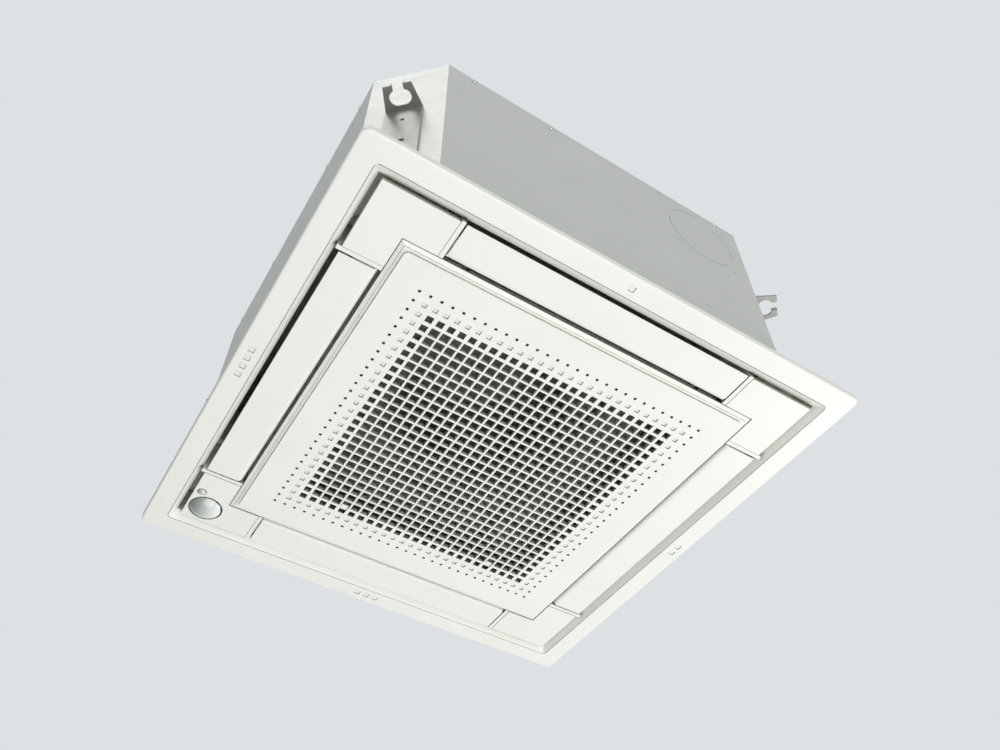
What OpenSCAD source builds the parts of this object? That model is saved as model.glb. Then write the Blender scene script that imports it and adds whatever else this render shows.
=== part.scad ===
// Square four-way ceiling cassette indoor unit with a flush decoration panel.
// Millimetres, +Z up, origin on the panel centre at the ceiling line.
// The panel hangs 8 mm below the ceiling, the sheet casing stands in the ceiling space.

/* [Panel] */
// Width of the square panel
panel_w = 620; // [616:1:632]
// Height of the panel from its face to its top flange
panel_h = 46; // [44:1:50]
// How far the panel face stands below the ceiling
panel_drop = 8; // [7.5:0.5:9]
// Radius of the panel's plan corners
panel_corner_r = 9; // [7:0.5:12]
// Radius of the panel's lower outer edge
panel_edge_r = 2.5; // [2:0.25:3.5]
// Wall of the panel moulding
panel_wall = 2.5; // [2:0.25:2.75]
// Width of the flat outer band
band_w = 26.5; // [25.5:0.25:27]
// Plan run of the sloped lip at the left and right
lip_run_x = 7.5; // [6.5:0.25:8.5]
// Plan run of the sloped lip at the front and back
lip_run_y = 11; // [10:0.25:11.5]
// Height of the sloped lip
lip_rise = 8.5; // [7.5:0.25:9]
// Side of the small square position marks
mark_w = 7; // [6:0.5:8]
// Depth of the position marks
mark_depth = 0.8; // [0.5:0.1:1.2]
// Pitch of the position marks
mark_pitch = 13; // [12:0.5:15]
// Distance of the marks from the panel edge
mark_inset = 14; // [13:0.5:15]
// Thickness of the foam strip on the panel back, above the band
gasket_w = 12; // [10:0.5:13]

/* [Flaps] */
// Length of an outlet flap
flap_span = 357.4; // [355:0.2:360]
// Width of an outlet flap
flap_w = 44; // [43:0.5:44.5]
// Thickness of the flap blade
flap_t = 2.4; // [2:0.1:2.8]
// Distance from the panel edge to the flap's outer edge
flap_inset = 39; // [38.75:0.25:40]
// Radius of the rolled inner edge round the hinge line
flap_roll_r = 7.2; // [7:0.1:7.6]
// How far flaps and corner covers sit above the band face
flush_step = 1; // [0.6:0.1:1.4]
// Gap between a flap end and its rib
flap_end_gap = 1.8; // [1:0.1:2.2]
// Radius of the flap's rounded inner corner
flap_corner_r = 6; // [5:0.5:8]
// Thickness of the ribs that carry the flap bearings
rib_t = 5; // [4.5:0.25:5.5]
// Radius of the flap pins
flap_pin_r = 3; // [2.6:0.1:3.2]
// Running clearance of the flap pins, on the radius
pin_fit = 0.06; // [0.04:0.01:0.09]
// Radius of a flap motor can
flap_motor_r = 10; // [9:0.5:10.5]
// Depth of a flap motor can
flap_motor_t = 14; // [12:0.5:16]

/* [Corner covers] */
// Gap between a corner cover and what stands beside it
cover_gap = 0.5; // [0.4:0.1:0.9]
// Wall of a corner cover
cover_t = 2.2; // [1.8:0.1:2.4]
// Gap between a corner cover and the grille
cover_grille_gap = 1; // [0.9:0.1:1.3]
// Height of the skirt of a corner cover
cover_skirt = 6; // [5:0.5:7]
// Wall of that skirt
skirt_t = 1.2; // [1:0.1:1.4]
// Radius of the presence sensor dome
dome_r = 19.5; // [18:0.5:20]
// Height of the presence sensor dome
dome_h = 7; // [6:0.5:8]
// Radius of the small floor sensor lens
lens_r = 5.4; // [5:0.1:5.8]
// Dark ring round the sensor dome
dome_ring = 1; // [0.8:0.1:1.3]

// Place of the dome from the middle, to the left
dome_x = 248; // [247.5:0.1:248.2]
// Place of the dome from the middle, to the back
dome_y = 245.4; // [244.6:0.2:246.4]
// Place of the lens from the middle, to the left
lens_x = 262.2; // [261.6:0.2:262.8]
// Place of the lens from the middle, to the back
lens_y = 219.4; // [217:0.2:220]

/* [Grille] */
// Width of the square suction grille
grille_w = 448.6; // [447:0.2:449]
// How far the grille face stands below the band face
grille_proud = 3; // [2.5:0.25:4]
// How far the outer edge of the grille sits above the band face
grille_edge_lift = 1.5; // [1:0.25:1.75]
// Width of the bevel round the grille
bevel_w = 8; // [7:0.5:9]
// Height of the bevel
bevel_rise = 2.5; // [2:0.25:2.75]
// Wall of the grille moulding
grille_t = 2.4; // [2:0.1:2.6]
// Depth of the bars
bar_depth = 5; // [4:0.25:5.25]
// Pitch of the hole pattern
hole_pitch = 13; // [12.9:0.05:13.05]
// Side of the large square holes
hole_big = 10.6; // [10:0.1:11]
// Side of the medium holes
hole_mid = 8.2; // [7.8:0.1:8.6]
// Side of the blind dimples
hole_dimple = 5.4; // [5:0.1:5.8]
// Side of the small outermost holes
hole_dot = 3.2; // [2.8:0.1:3.6]
// Depth of the blind dimples
dimple_depth = 1; // [0.8:0.1:1.3]
// Height of the rim behind the grille border
rim_h = 17; // [15:0.5:18]
// Radius of the grille hinge pins
hinge_pin_r = 1.5; // [1.3:0.1:1.6]
// Distance of each grille hinge from the middle
hinge_offset = 150; // [145:1:156]
// Travel of the grille latches
latch_travel = 4; // [3.5:0.25:4.25]
// Side of a latch knob
latch_knob = 8.4; // [8:0.1:8.6]
// Thickness of the filter frame
filter_t = 3; // [2.5:0.25:3.25]
// Width of the filter
filter_w = 404; // [400:1:406]

/* [Casing] */
// Width of the square casing
body_w = 575; // [573:1:578]
// Height of the casing
body_h = 260; // [258:1:270]
// Leg of the cut corners of the casing
body_cut = 66; // [64:1:70]
// Sheet of the casing
sheet_t = 1; // [0.8:0.1:1.2]
// Foam between panel and casing
seal_t = 2; // [1.5:0.25:3]
// Foam lining of the casing wall
liner_t = 9; // [8:0.5:9.5]
// Foam under the top plate
top_foam_t = 15; // [12:0.5:18]
// Radius of the round branch duct knock-out
knock_r = 49.5; // [45:0.5:50]
// Width of the punched line round the knock-out
knock_slot = 1.2; // [0.8:0.1:1.6]
// Distance of the four pilot holes from the knock-out centre, each way
knock_hole_off = 44.6; // [42:0.2:46]
// Distance of the knock-out centre from the casing middle
knock_x = 150.5; // [148:0.5:152]
// Distance of the knock-out centre below the casing top
knock_drop = 66; // [64:1:70]

// Distance of the panel screws from the panel's edge
screw_inset = 66; // [64:1:68]
// Radius of the panel screws
screw_r = 2.5; // [2:0.25:3]
// Radius of the panel screws' heads
screw_head_r = 5; // [4.5:0.25:6]
// Drop of the top edge screws under the casing top
top_screw_drop = 7; // [6:0.5:9]

/* [Drain pan] */
// Foam under the drain pan's gutter
pan_base = 21; // [18:1:24]
// Height of the gutter walls
gutter_h = 33; // [28:1:36]
// Half length of each outlet duct
duct_half = 172; // [168:1:173]
// Distance of the outlet ducts from the coil
duct_inset = 10; // [9:0.5:12]
// Outer wall of the outlet ducts
duct_wall = 10.8; // [10:0.2:12]
// Foam under the pump sump
sump_base = 8; // [6:1:10]
// Place of the pump from the fan axis, to the right
pump_x = 226; // [224:1:228]
// Place of the pump from the fan axis, to the back
pump_y = 206; // [204:1:208]
// Radius of the pump body
pump_r = 23; // [20:0.5:23]
// Height of the pump body and neck
pump_h = 62; // [56:1:68]
// Height of the pump's foot above the gutter floor
pump_lift = 8; // [7:0.5:10]
// Place of the pump outlet, to the right
outlet_x = 236; // [234:1:238]
// Place of the pump outlet, to the back
outlet_y = 198; // [197:1:200]
// Place of the float, to the right
float_x = 256; // [255:0.5:257]
// Place of the float, to the back
float_y = 192; // [191:0.5:194]
// Radius of the float
float_r = 9.5; // [8.5:0.25:9.75]
// Travel of the float
float_travel = 15; // [12:0.5:16]
// Radius of the float's stem
float_stem_r = 3; // [2.5:0.25:3.5]

/* [Control box] */
// Distance of the box's inner side from the fan axis
box_side = 151; // [150.5:0.5:153]
// Half length of the control box
box_y = 150; // [140:1:155]
// Gap between the grille rim and the box
box_gap = 5; // [4:0.5:6]

/* [Hangers] */
// Spacing of the hanger rods, both ways
hanger_pitch = 533; // [530:1:535]
// Radius of the hanger rods' slot
rod_r = 6.5; // [6:0.25:7]
// Width of a hanger plate
hanger_w = 43; // [41:0.5:45]
// Sheet of a hanger
hanger_t = 2; // [1.8:0.1:2.5]
// Height of the underside of the hanger tab over the ceiling line
hanger_z = 191; // [190:1:198]
// Reach of the hanger tab from the casing
hanger_reach = 32; // [30:0.5:34]
// Length of the hanger plate below its tab
hanger_drop = 133; // [125:1:140]
// Height of the hanger screws above the plate's foot
hanger_screw_rise = 12; // [10:0.5:14]
// Width of the rod pocket
rod_pocket = 25; // [23:0.5:27]

/* [Fan] */
// Radius of the turbo fan
fan_r = 152; // [148:1:153]
// Number of fan blades
blade_n = 7; // [5:1:9]
// Radius of the bell mouth throat
throat_r = 108; // [104:1:110]
// Rounding radius of the bell mouth
bell_r = 42; // [40:1:43]
// Straight throat of the bell mouth
throat_h = 19; // [17:0.5:22]
// Lap of the fan's shroud over the throat
shroud_lap = 9; // [7:0.5:11]
// Gap between throat and shroud
shroud_gap = 3; // [2.5:0.25:4]
// Drop of the fan's hub plate under the top foam
hub_drop = 46; // [44:1:50]
// Radius of the bowl's rim in the hub
bowl_r = 88; // [84:1:92]
// Depth of the bowl
bowl_h = 62; // [58:1:66]
// Gap between bowl and motor, on the radius
bowl_gap = 9; // [8:0.5:10]
// Radius of the blades' curve
blade_arc = 80; // [76:1:84]
// Centre of the blades' curve, along its chord
blade_cx = 58; // [56:0.5:60]
// Centre of the blades' curve, across its chord
blade_cy = 55; // [53:0.5:57]
// Height of the motor above the bowl's floor
motor_lift = 9; // [8:0.5:11]
// Height of the motor lugs above the hub plate
lug_lift = 9; // [8:0.5:11]
// Distance of the rubber mounts from the motor's side
mount_out = 15; // [13:0.5:16]
// Distance of the bracket legs from the rubber mounts
leg_out = 17; // [15:0.5:19]
// Width of a bracket leg
leg_w = 30; // [26:1:34]
// Wall of fan and bell mouth
fan_wall = 2; // [1.6:0.1:2.2]
// Radius of the fan motor
motor_r = 56; // [52:1:58]
// Radius of the motor shaft
shaft_r = 5; // [4:0.25:6]

/* [Coil] */
// Half width of the coil, outside
coil_out = 214; // [212:0.5:215]
// Depth of the coil
coil_t = 34; // [30:0.5:35]
// Corner radius of the coil, outside
coil_round = 60; // [56:1:64]
// Distance of the coil's two ends from the fan axis
coil_end = 146; // [142:1:148]
// Distance of the pipes' headers from the coil's ends
head_gap = 28; // [27:0.5:30]
// Pitch of the drawn fins
fin_pitch = 21; // [18:0.5:24]
// Thickness of a drawn fin
fin_t = 1.4; // [1:0.1:1.8]
// Pitch of the tube rows
tube_pitch = 24; // [22:0.5:25]
// Radius of the coil tubes
tube_r = 3.5; // [3:0.1:3.8]
// Number of tube rows
tube_rows = 9; // [6:3:9]

/* [Pipes] */
// Inner radius of the liquid pipe
liquid_r = 2.4; // [2.2:0.1:2.6]
// Outer radius of the liquid pipe
liquid_or = 3.2; // [3:0.1:3.4]
// Inner radius of the gas pipe
gas_r = 5.5; // [5.2:0.1:5.6]
// Outer radius of the gas pipe
gas_or = 6.35; // [6.1:0.05:6.6]
// Height of the pipes over the ceiling line
pipe_z = 246; // [240:1:250]
// How far the pipes stand out of the casing
pipe_out = 26; // [22:1:30]
// Inner radius of the drain socket
drain_r = 10; // [9:0.5:10.5]
// Outer radius of the drain socket
drain_or = 13; // [12.5:0.25:14]
// How far the drain socket stands out of the casing
drain_out = 20; // [18:1:22]
// Height of the drain socket over the ceiling line
drain_z = 214; // [205:1:220]

/* [Hidden] */
$fn = 64;
// clearances
fit = 0.3;
slide_fit = 0.2;
clear = 1;
thin = 1.5;
flap_swing = 4;
// panel
half = panel_w / 2;
face_z = -panel_drop;
top_z = panel_h - panel_drop;
body_z = top_z + seal_t;
body_top = body_z + body_h;
body_half = body_w / 2;
lip_half = half - band_w;
open_x = lip_half - lip_run_x;
open_y = lip_half - lip_run_y;
lip_z = face_z + lip_rise;
grille_half = grille_w / 2;
flap_out = half - flap_inset;
flap_in = flap_out - flap_w;
hinge_y = flap_in + flap_roll_r;
flush_z = face_z + flush_step;
hinge_z = flush_z + flap_roll_r;
flap_half = flap_span / 2;
rib_in = flap_half + flap_end_gap;
rib_out = rib_in + rib_t;
cover_in = rib_out + cover_gap;
cover_inner = grille_half + cover_grille_gap;
duct_in = flap_in - flap_swing;
duct_wall_in = duct_in - panel_wall;
wall_z = lip_z + clear;
flange_inset = 2.5;
joint_gap = 0.3;
seam_w = 0.7;
seam_t = 0.7;
lip_corner_r = 5;
weld_gap = 0.2;
tab_w = 5;
tab_t = 1;
post_r = 4;
screw_xy = half - screw_inset;
screw_head_h = 3.5;
screw_reach = 12;
washer_t = 1;
gasket_inset = 4.5;
seat_w = 1;
band_clear = 1.5;
// grille
gr_face = face_z - grille_proud;
gr_edge = face_z + grille_edge_lift;
gr_bevel = gr_edge - bevel_rise;
gr_flat = grille_half - bevel_w;
gr_back = gr_face + grille_t;
bar_top = gr_face + bar_depth;
plateau_r = 5;
pattern_half = 15 * hole_pitch;
lattice_half = 12.5 * hole_pitch;
rim_out = duct_wall_in - clear;
rim_in = rim_out - panel_wall;
rim_top = gr_back + rim_h;
hinge_in = 5;
hinge_rise = 5.1;
gh_y = -(rim_in - hinge_in);
gh_z = gr_back + hinge_rise;
ear_wall = 0.9;
ear_r = hinge_pin_r + ear_wall;
ear_t = 4;
ear_arm = 3;
ear_rise = 6;
ear_top = rim_top + ear_rise;
hinge_recess = 23;
recess_z = ear_top - ear_arm - fit;
edge_reach = pow(grille_half + gh_y, 2) + pow(gh_z - gr_edge, 2);
notch_z = gh_z + sqrt(edge_reach - pow(duct_in + gh_y, 2)) + clear;
boss_t = 5;
latch_x = 8 * hole_pitch;
latch_y = 11.5 * hole_pitch;
latch_w = 12;
latch_t = 2.4;
latch_leg = 3;
knob_sink = 1;
latch_end = gr_flat - grille_t - clear;
tongue_t = 2;
tongue_z = rim_top - 2.2 * tongue_t;
tongue_reach = 1.8;
hook_w = 8;
hook_t = 2;
filter_edge = 6;
net_t = 0.4;
net_edge = 3;
// casing and pan
in_half = body_half - sheet_t;
pan_half = in_half - fit;
pan_z = body_z + sheet_t;
pan_floor = pan_z + pan_base;
pan_top = pan_floor + gutter_h;
duct_mid_in = coil_out + duct_inset;
duct_mid_out = pan_half - duct_wall;
gutter_gap = 3;
gutter_out = coil_out + gutter_gap;
gutter_in = coil_out - coil_t - gutter_gap;
foam_z = body_top - sheet_t - top_foam_t;
wrap_flange = 8.5;
bead_w = 5;
bead_depth = 0.4;
bead_at = 172.5;
// coil
coil_rest = 2;
coil_z = pan_floor + coil_rest;
coil_h = foam_z - coil_z;
coil_in = coil_out - coil_t;
coil_mid = coil_out - coil_t / 2;
head_x = coil_end + head_gap;
pipe_side = (coil_mid - head_x) / sqrt(2);
tube_end = coil_end + 2 * thin;
row_z = coil_z + (coil_h - (tube_rows - 1) * tube_pitch) / 2;
mid_r = coil_round - coil_t / 2;
bend_c = coil_out - coil_round;
// bell mouth and fan
bell_z = pan_z - fan_wall;
bell_c = throat_r + bell_r;
bell_hole = bell_c + 2 * fan_wall;
lip_top = bell_z + bell_r + throat_h;
shroud_z = lip_top - shroud_lap;
shroud_in = throat_r + fan_wall + shroud_gap;
shroud_r = fan_r + fan_wall - shroud_in;
shroud_c = shroud_in + shroud_r;
hub_z = foam_z - hub_drop;
hub_t = 3;
bowl_low_r = motor_r + bowl_gap;
bowl_z = hub_z - bowl_h;
blade_in = shroud_in + shroud_gap;
nut_h = 9;
shaft_tip = 5;
// motor
motor_z = bowl_z + motor_lift;
motor_step = 8;
lug_z = hub_z + lug_lift;
lug_t = 4;
rubber_r = 9;
rubber_h = 9;
stud_r = 3;
mount_d = motor_r + mount_out;
bracket_t = 2;
bracket_z = body_top - sheet_t - bracket_t;
ring_z = lug_z + lug_t + rubber_h;
ring_in = motor_r - motor_step;
leg_r = mount_d + leg_out;
leg_gap = 2;
// corner and hangers
corner_d = (2 * body_half - body_cut) / sqrt(2);
rod_d = hanger_pitch / sqrt(2) - corner_d;
head_l = (coil_mid + head_x) / sqrt(2) - corner_d;
hanger_off = 1.5;
hanger_low = hanger_z - hanger_drop;
hanger_screw_z = hanger_low + hanger_screw_rise;
lug_half = 3.5;
lug_h = 6;
gauge_r = 2.5;
gauge_drop = 27;
slot_half = 5.5;
slot_h = 5;
slot_drop = 80;
// casing fixings
shank_r = 1.7;
head_r = 3.5;
head_t = 1.6;
plate_t = 1.2;
plate_half = 42;
plate_h = 48;
plate_edge = 4;
pilot_r = 2;
window_half = 36;
window_h = 34;
top_screw_z = body_top - top_screw_drop;
// drain parts
well_wall = 6;
sump_z = pan_z + sump_base;
pump_z = pan_floor + pump_lift;
pump_neck = 12;
pump_plate_z = pump_z + pump_h;
cup_r = 14;
cup_wall = 2;
cup_z = sump_z + 2 * cup_wall;
pump_shaft_r = 2;
impeller_gap = 1.5;
impeller_h = 10;
spout_r = 7;
spout_wall = 2;
spout_h = 14;
hose_wall = 3;
hose_r = spout_r + hose_wall;
hose_bend = 18;
bracket_x = in_half - liner_t;
bracket_h = 27;
float_low = pan_floor + coil_rest;
float_h = 17;
socket_flange = 3;
socket_step = 2;
socket_spigot = 14;
// control box
box_x0 = -(rim_in - clear);
box_z = rim_top + box_gap;
box_top = bell_z;
box_sheet = sheet_t;
board_inset = 6;
stand_r = 3;
cap_r = 6;
cap_h = 13;
relay_w = 22;
relay_h = 12;
chip_h = 8;
block_inset = 12;
block_w = 22;
pocket_w = 8;
pocket_in = 6;
pocket_h = 9;
board_drop = 8;
board_z = box_top - box_sheet - board_drop;
white = [0.93, 0.93, 0.92];
steel = [0.75, 0.76, 0.74];
foam = [0.9, 0.9, 0.9];
copper = [0.72, 0.45, 0.2];
dark = [0.2, 0.2, 0.2];

module block(x0, y0, z0, x1, y1, z1) {
  translate([x0, y0, z0]) cube([x1 - x0, y1 - y0, z1 - z0]);
}

module sq2(hx, hy) {
  translate([-hx, -hy]) square([2 * hx, 2 * hy]);
}

module plate(hx, hy, z0, z1) {
  translate([0, 0, z0]) linear_extrude(height = z1 - z0) sq2(hx, hy);
}

// square with round corners
module rsq(hx, hy, r) {
  union() {
    sq2(hx - r, hy);
    sq2(hx, hy - r);
    for (sx = [-1, 1]) {
      for (sy = [-1, 1]) {
        translate([sx * (hx - r), sy * (hy - r)]) circle(r = r);
      }
    }
  }
}

module rplate(hx, hy, r, z0, z1) {
  translate([0, 0, z0]) linear_extrude(height = z1 - z0) rsq(hx, hy, r);
}

module ring(ro, ri, z0, z1) {
  translate([0, 0, z0]) difference() {
    cylinder(r = ro, h = z1 - z0);
    translate([0, 0, -thin]) cylinder(r = ri, h = z1 - z0 + 2 * thin);
  }
}

module rod(r, z0, z1) {
  translate([0, 0, z0]) cylinder(r = r, h = z1 - z0);
}

// octagon: square with cut corners
module oct2(h, c) {
  polygon([[-h + c, -h], [h - c, -h], [h, -h + c], [h, h - c], [h - c, h], [-h + c, h],
    [-h, h - c], [-h, -h + c]]);
}

function cut_in(d) = body_cut - d * (2 - sqrt(2));

module oct(h, z0, z1) {
  translate([0, 0, z0]) linear_extrude(height = z1 - z0) oct2(h, cut_in(body_half - h));
}

// block whose four sides slope between two levels
module slope_block(hx0, hy0, z0, hx1, hy1, z1) {
  wx = max(hx0, hx1);
  wy = max(hy0, hy1);
  intersection() {
    translate([0, wy, 0]) rotate([90, 0, 0]) linear_extrude(height = 2 * wy)
      polygon([[-hx0, z0], [hx0, z0], [hx1, z1], [-hx1, z1]]);
    translate([-wx, 0, 0]) rotate([90, 0, 90]) linear_extrude(height = 2 * wx)
      polygon([[-hy0, z0], [hy0, z0], [hy1, z1], [-hy1, z1]]);
  }
}

// plate whose lower outer edge is rounded, standing on z = 0
module soft_profile(h, r, t) {
  union() {
    translate([-h + r, 0]) square([2 * (h - r), t]);
    translate([-h, r]) square([2 * h, t - r]);
    for (s = [-1, 1]) {
      translate([s * (h - r), r]) circle(r = r);
    }
  }
}

module soft_plate(h, cr, r, t) {
  union() {
    for (a = [0, 90]) {
      rotate([0, 0, a]) translate([0, h - cr, 0]) rotate([90, 0, 0])
        linear_extrude(height = 2 * (h - cr)) soft_profile(h, r, t);
    }
    for (sx = [-1, 1]) {
      for (sy = [-1, 1]) {
        translate([sx * (h - cr), sy * (h - cr), 0]) rotate_extrude() union() {
          square([cr - r, t]);
          translate([0, r]) square([cr, t - r]);
          translate([cr - r, r]) circle(r = r);
        }
      }
    }
  }
}

// fine joints along both diagonals, for rings built from four segments
module diagonal_joints(r, w, z0, z1) {
  for (a = [45, 135]) {
    rotate([0, 0, a]) block(-r, -w / 2, z0, r, w / 2, z1);
  }
}

// turn a front piece to the side with number k: front, right, back, left
module side(k) {
  rotate([0, 0, 90 * k]) children();
}

// Panel frame
module mark(x, y) {
  block(x - mark_w / 2, y - mark_w / 2, face_z - thin, x + mark_w / 2, y + mark_w / 2,
    face_z + mark_depth);
}

module marks() {
  m = half - mark_inset;
  p = mark_pitch;
  mark(0, -m);
  for (k = [-1.5:1.5]) mark(-m, k * p);
  for (k = [-1:1]) mark(k * p, m);
  for (k = [-0.5:0.5]) mark(m, k * p);
}

// Outer moulding: band with marks, sloped lip, outer wall and the flange under the casing
module panel_frame() color(white) {
  difference() {
    union() {
      difference() {
        translate([0, 0, face_z]) soft_plate(half, panel_corner_r, panel_edge_r, panel_drop);
        rplate(half - panel_wall, half - panel_wall, panel_corner_r - panel_wall,
          face_z + panel_wall, thin);
      }
      slope_block(lip_half + panel_wall, lip_half + panel_wall, face_z + panel_wall / 2,
        open_x + panel_wall, open_y + panel_wall, lip_z);
      plate(open_x + panel_wall, open_y + panel_wall, lip_z, top_z);
      oct(in_half - flange_inset, top_z - panel_wall, top_z);
    }
    intersection() {
      slope_block(lip_half, lip_half, face_z, open_x, open_y, lip_z);
      rplate(lip_half, lip_half, lip_corner_r, face_z - thin, lip_z + thin);
    }
    difference() {
      rplate(lip_half + seam_w, lip_half + seam_w, lip_corner_r + seam_w, face_z - thin,
        face_z + seam_t);
      rplate(lip_half, lip_half, lip_corner_r, face_z - 2 * thin, face_z + 2 * seam_t);
    }
    rplate(lip_half, lip_half, lip_corner_r, face_z - thin, face_z);
    plate(open_x, open_y, lip_z, top_z + thin);
    marks();
  }
}

// Suction frame: four duct walls and four corners that carry the ribs and take the screws
module corner_plates() {
  difference() {
    plate(open_x, open_y, top_z - panel_wall, top_z);
    plate(duct_wall_in, duct_wall_in, wall_z, top_z + thin);
    for (k = [0, 1]) side(k) block(-rib_in, -half, wall_z, rib_in, half, top_z + thin);
  }
}

module duct_walls() {
  difference() {
    plate(duct_in, duct_in, wall_z, top_z);
    plate(duct_wall_in, duct_wall_in, wall_z - thin, top_z + thin);
    block(-duct_in, -duct_in - thin, wall_z - thin, duct_in, -duct_wall_in + hinge_recess,
      recess_z);
    for (s = [-1, 1]) {
      block(s * latch_x - latch_w / 2 - clear, duct_wall_in - thin, tongue_z - fit,
        s * latch_x + latch_w / 2 + clear, duct_in + thin, tongue_z + tongue_t + fit);
    }
  }
}

module rib_pair(reach) {
  for (s = [-1, 1]) {
    difference() {
      block(min(s * rib_in, s * rib_out), -reach, flush_z + fit, max(s * rib_in, s * rib_out),
        -duct_in, top_z);
      translate([s * rib_in - thin * s, -hinge_y, hinge_z]) rotate([0, 90 * s, 0])
        cylinder(r = flap_pin_r + pin_fit, h = rib_t + 2 * thin);
      block(-half, -grille_half - clear, face_z, half, -duct_in + thin, notch_z);
    }
  }
}

module grille_ears() {
  for (s = [-1, 1]) {
    difference() {
      union() {
        block(s * hinge_offset - ear_t / 2, gh_y, gh_z, s * hinge_offset + ear_t / 2,
          gh_y + 2 * ear_r, ear_top);
        translate([s * hinge_offset - ear_t / 2, gh_y, gh_z]) rotate([0, 90, 0])
          cylinder(r = ear_r, h = ear_t);
        block(s * hinge_offset - ear_t / 2, -duct_wall_in - panel_wall / 2,
          ear_top - ear_arm, s * hinge_offset + ear_t / 2, gh_y + ear_r, ear_top);
      }
      translate([s * hinge_offset - ear_t, gh_y, gh_z]) rotate([0, 90, 0])
        cylinder(r = hinge_pin_r + pin_fit, h = 2 * ear_t);
    }
  }
}

module screw_holes(z0, z1) {
  for (sx = [-1, 1]) {
    for (sy = [-1, 1]) {
      translate([sx * screw_xy, sy * screw_xy, 0]) rod(screw_r + fit, z0, z1);
    }
  }
}

module suction_frame() color(white) {
  difference() {
    union() {
      corner_plates();
      duct_walls();
      rib_pair(open_y);
      side(2) rib_pair(open_y);
      side(1) rib_pair(open_x);
      side(3) rib_pair(open_x);
      grille_ears();
    }
    screw_holes(top_z - 2 * panel_wall, top_z + thin);
    for (k = [0:3]) {
      for (s = [-1, 1]) {
        side(k) block(s * (rib_in - joint_gap / 2) - joint_gap / 2, -duct_in - thin,
          wall_z - thin, s * (rib_in - joint_gap / 2) + joint_gap / 2, -duct_wall_in + thin,
          top_z + thin);
      }
    }
  }
}

module ceiling_gasket() color(dark) {
  g = half - panel_wall - band_clear - gasket_inset;
  translate([0, 0, face_z + panel_wall]) linear_extrude(height = panel_drop - panel_wall)
    difference() {
      sq2(g, g);
      sq2(g - gasket_w, g - gasket_w);
    }
}

module panel_screws() color(steel) {
  for (sx = [-1, 1]) {
    for (sy = [-1, 1]) {
      translate([sx * screw_xy, sy * screw_xy, 0]) {
        difference() {
          rod(screw_head_r, top_z - panel_wall - screw_head_h, top_z - panel_wall);
          translate([0, 0, top_z - panel_wall - 1.5 * screw_head_h])
            cylinder(r = 0.6 * screw_head_r, h = 1.1 * screw_head_h, $fn = 6);
        }
        rod(screw_r, top_z - panel_wall - washer_t, pan_z + screw_reach);
      }
    }
  }
}

// Corner covers, drawn at the back right corner
module cover2(e) {
  polygon([[cover_in + e, cover_inner + e], [cover_in + e, flap_out - e],
    [flap_out - e, flap_out - e], [flap_out - e, cover_in + e], [cover_inner + e, cover_in + e],
    [cover_inner + e, cover_inner + e]]);
}

module cover_posts() {
  for (m = [0, 1]) {
    mirror([m, -m, 0])
      translate([cover_in + 2 * post_r + cover_t, open_y - 2 * post_r, 0])
        rod(post_r, flush_z + cover_t / 2, top_z - panel_wall);
  }
}

module cover() color(white) {
  cover_posts();
  difference() {
    translate([0, 0, flush_z]) linear_extrude(height = cover_skirt) cover2(0);
    translate([0, 0, flush_z + cover_t]) linear_extrude(height = cover_skirt)
      cover2(skirt_t);
    for (m = [0, 1]) {
      mirror([m, -m, 0]) block(hinge_y - 1.2 * flap_motor_r, cover_in - thin,
        flush_z + cover_t, hinge_y + 1.2 * flap_motor_r, cover_in + 2 * thin,
        flush_z + 2 * cover_skirt);
    }
  }
}

module corner_cover_fl() side(2) cover();
module corner_cover_fr() side(3) cover();
module corner_cover_br() cover();

module corner_cover_bl() color(white) {
  difference() {
    side(1) cover();
    translate([-dome_x, dome_y, 0])
      rod(dome_r + dome_ring + fit, flush_z - thin, flush_z + cover_t + thin);
    translate([-lens_x, lens_y, 0]) rod(lens_r + fit, flush_z - thin, flush_z + cover_t + thin);
  }
}

// Presence sensor: clear dome on its dark holder, and the small floor sensor
module sensor_dome() color(steel) {
  ball = (dome_r * dome_r + dome_h * dome_h) / (2 * dome_h);
  translate([-dome_x, dome_y, 0]) {
    intersection() {
      translate([0, 0, flush_z - dome_h + ball]) sphere(r = ball);
      rod(dome_r, flush_z - 2 * dome_h, flush_z);
    }
    rod(dome_r + dome_ring, flush_z, flush_z + cover_t);
    ring(dome_r + dome_ring + seat_w, dome_r - 3 * seat_w, flush_z + cover_t,
      flush_z + cover_t + 2 * seat_w);
  }
}

module sensor_lens() color(steel) {
  ball = 2 * lens_r;
  translate([-lens_x, lens_y, 0]) {
    intersection() {
      translate([0, 0, flush_z - thin + ball]) sphere(r = ball);
      rod(lens_r, flush_z - 2 * thin, flush_z);
    }
    rod(lens_r, flush_z, flush_z + cover_t + 3 * seat_w);
    rod(lens_r + seat_w, flush_z + cover_t, flush_z + cover_t + thin);
  }
}

// Outlet flaps, drawn at the front
module flap_profile() {
  union() {
    difference() {
      circle(r = flap_roll_r);
      circle(r = flap_roll_r - flap_t);
      translate([-2 * flap_roll_r, 0]) square([4 * flap_roll_r, 2 * flap_roll_r]);
      translate([-2 * flap_roll_r, -2 * flap_roll_r]) square([2 * flap_roll_r, 4 * flap_roll_r]);
    }
    polygon([[0, -flap_roll_r], [0, flap_t - flap_roll_r],
      [hinge_y - flap_out + flap_t, flap_t - flap_roll_r],
      [hinge_y - flap_out, flap_t / 2 - flap_roll_r], [hinge_y - flap_out, -flap_roll_r]]);
  }
}

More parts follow.
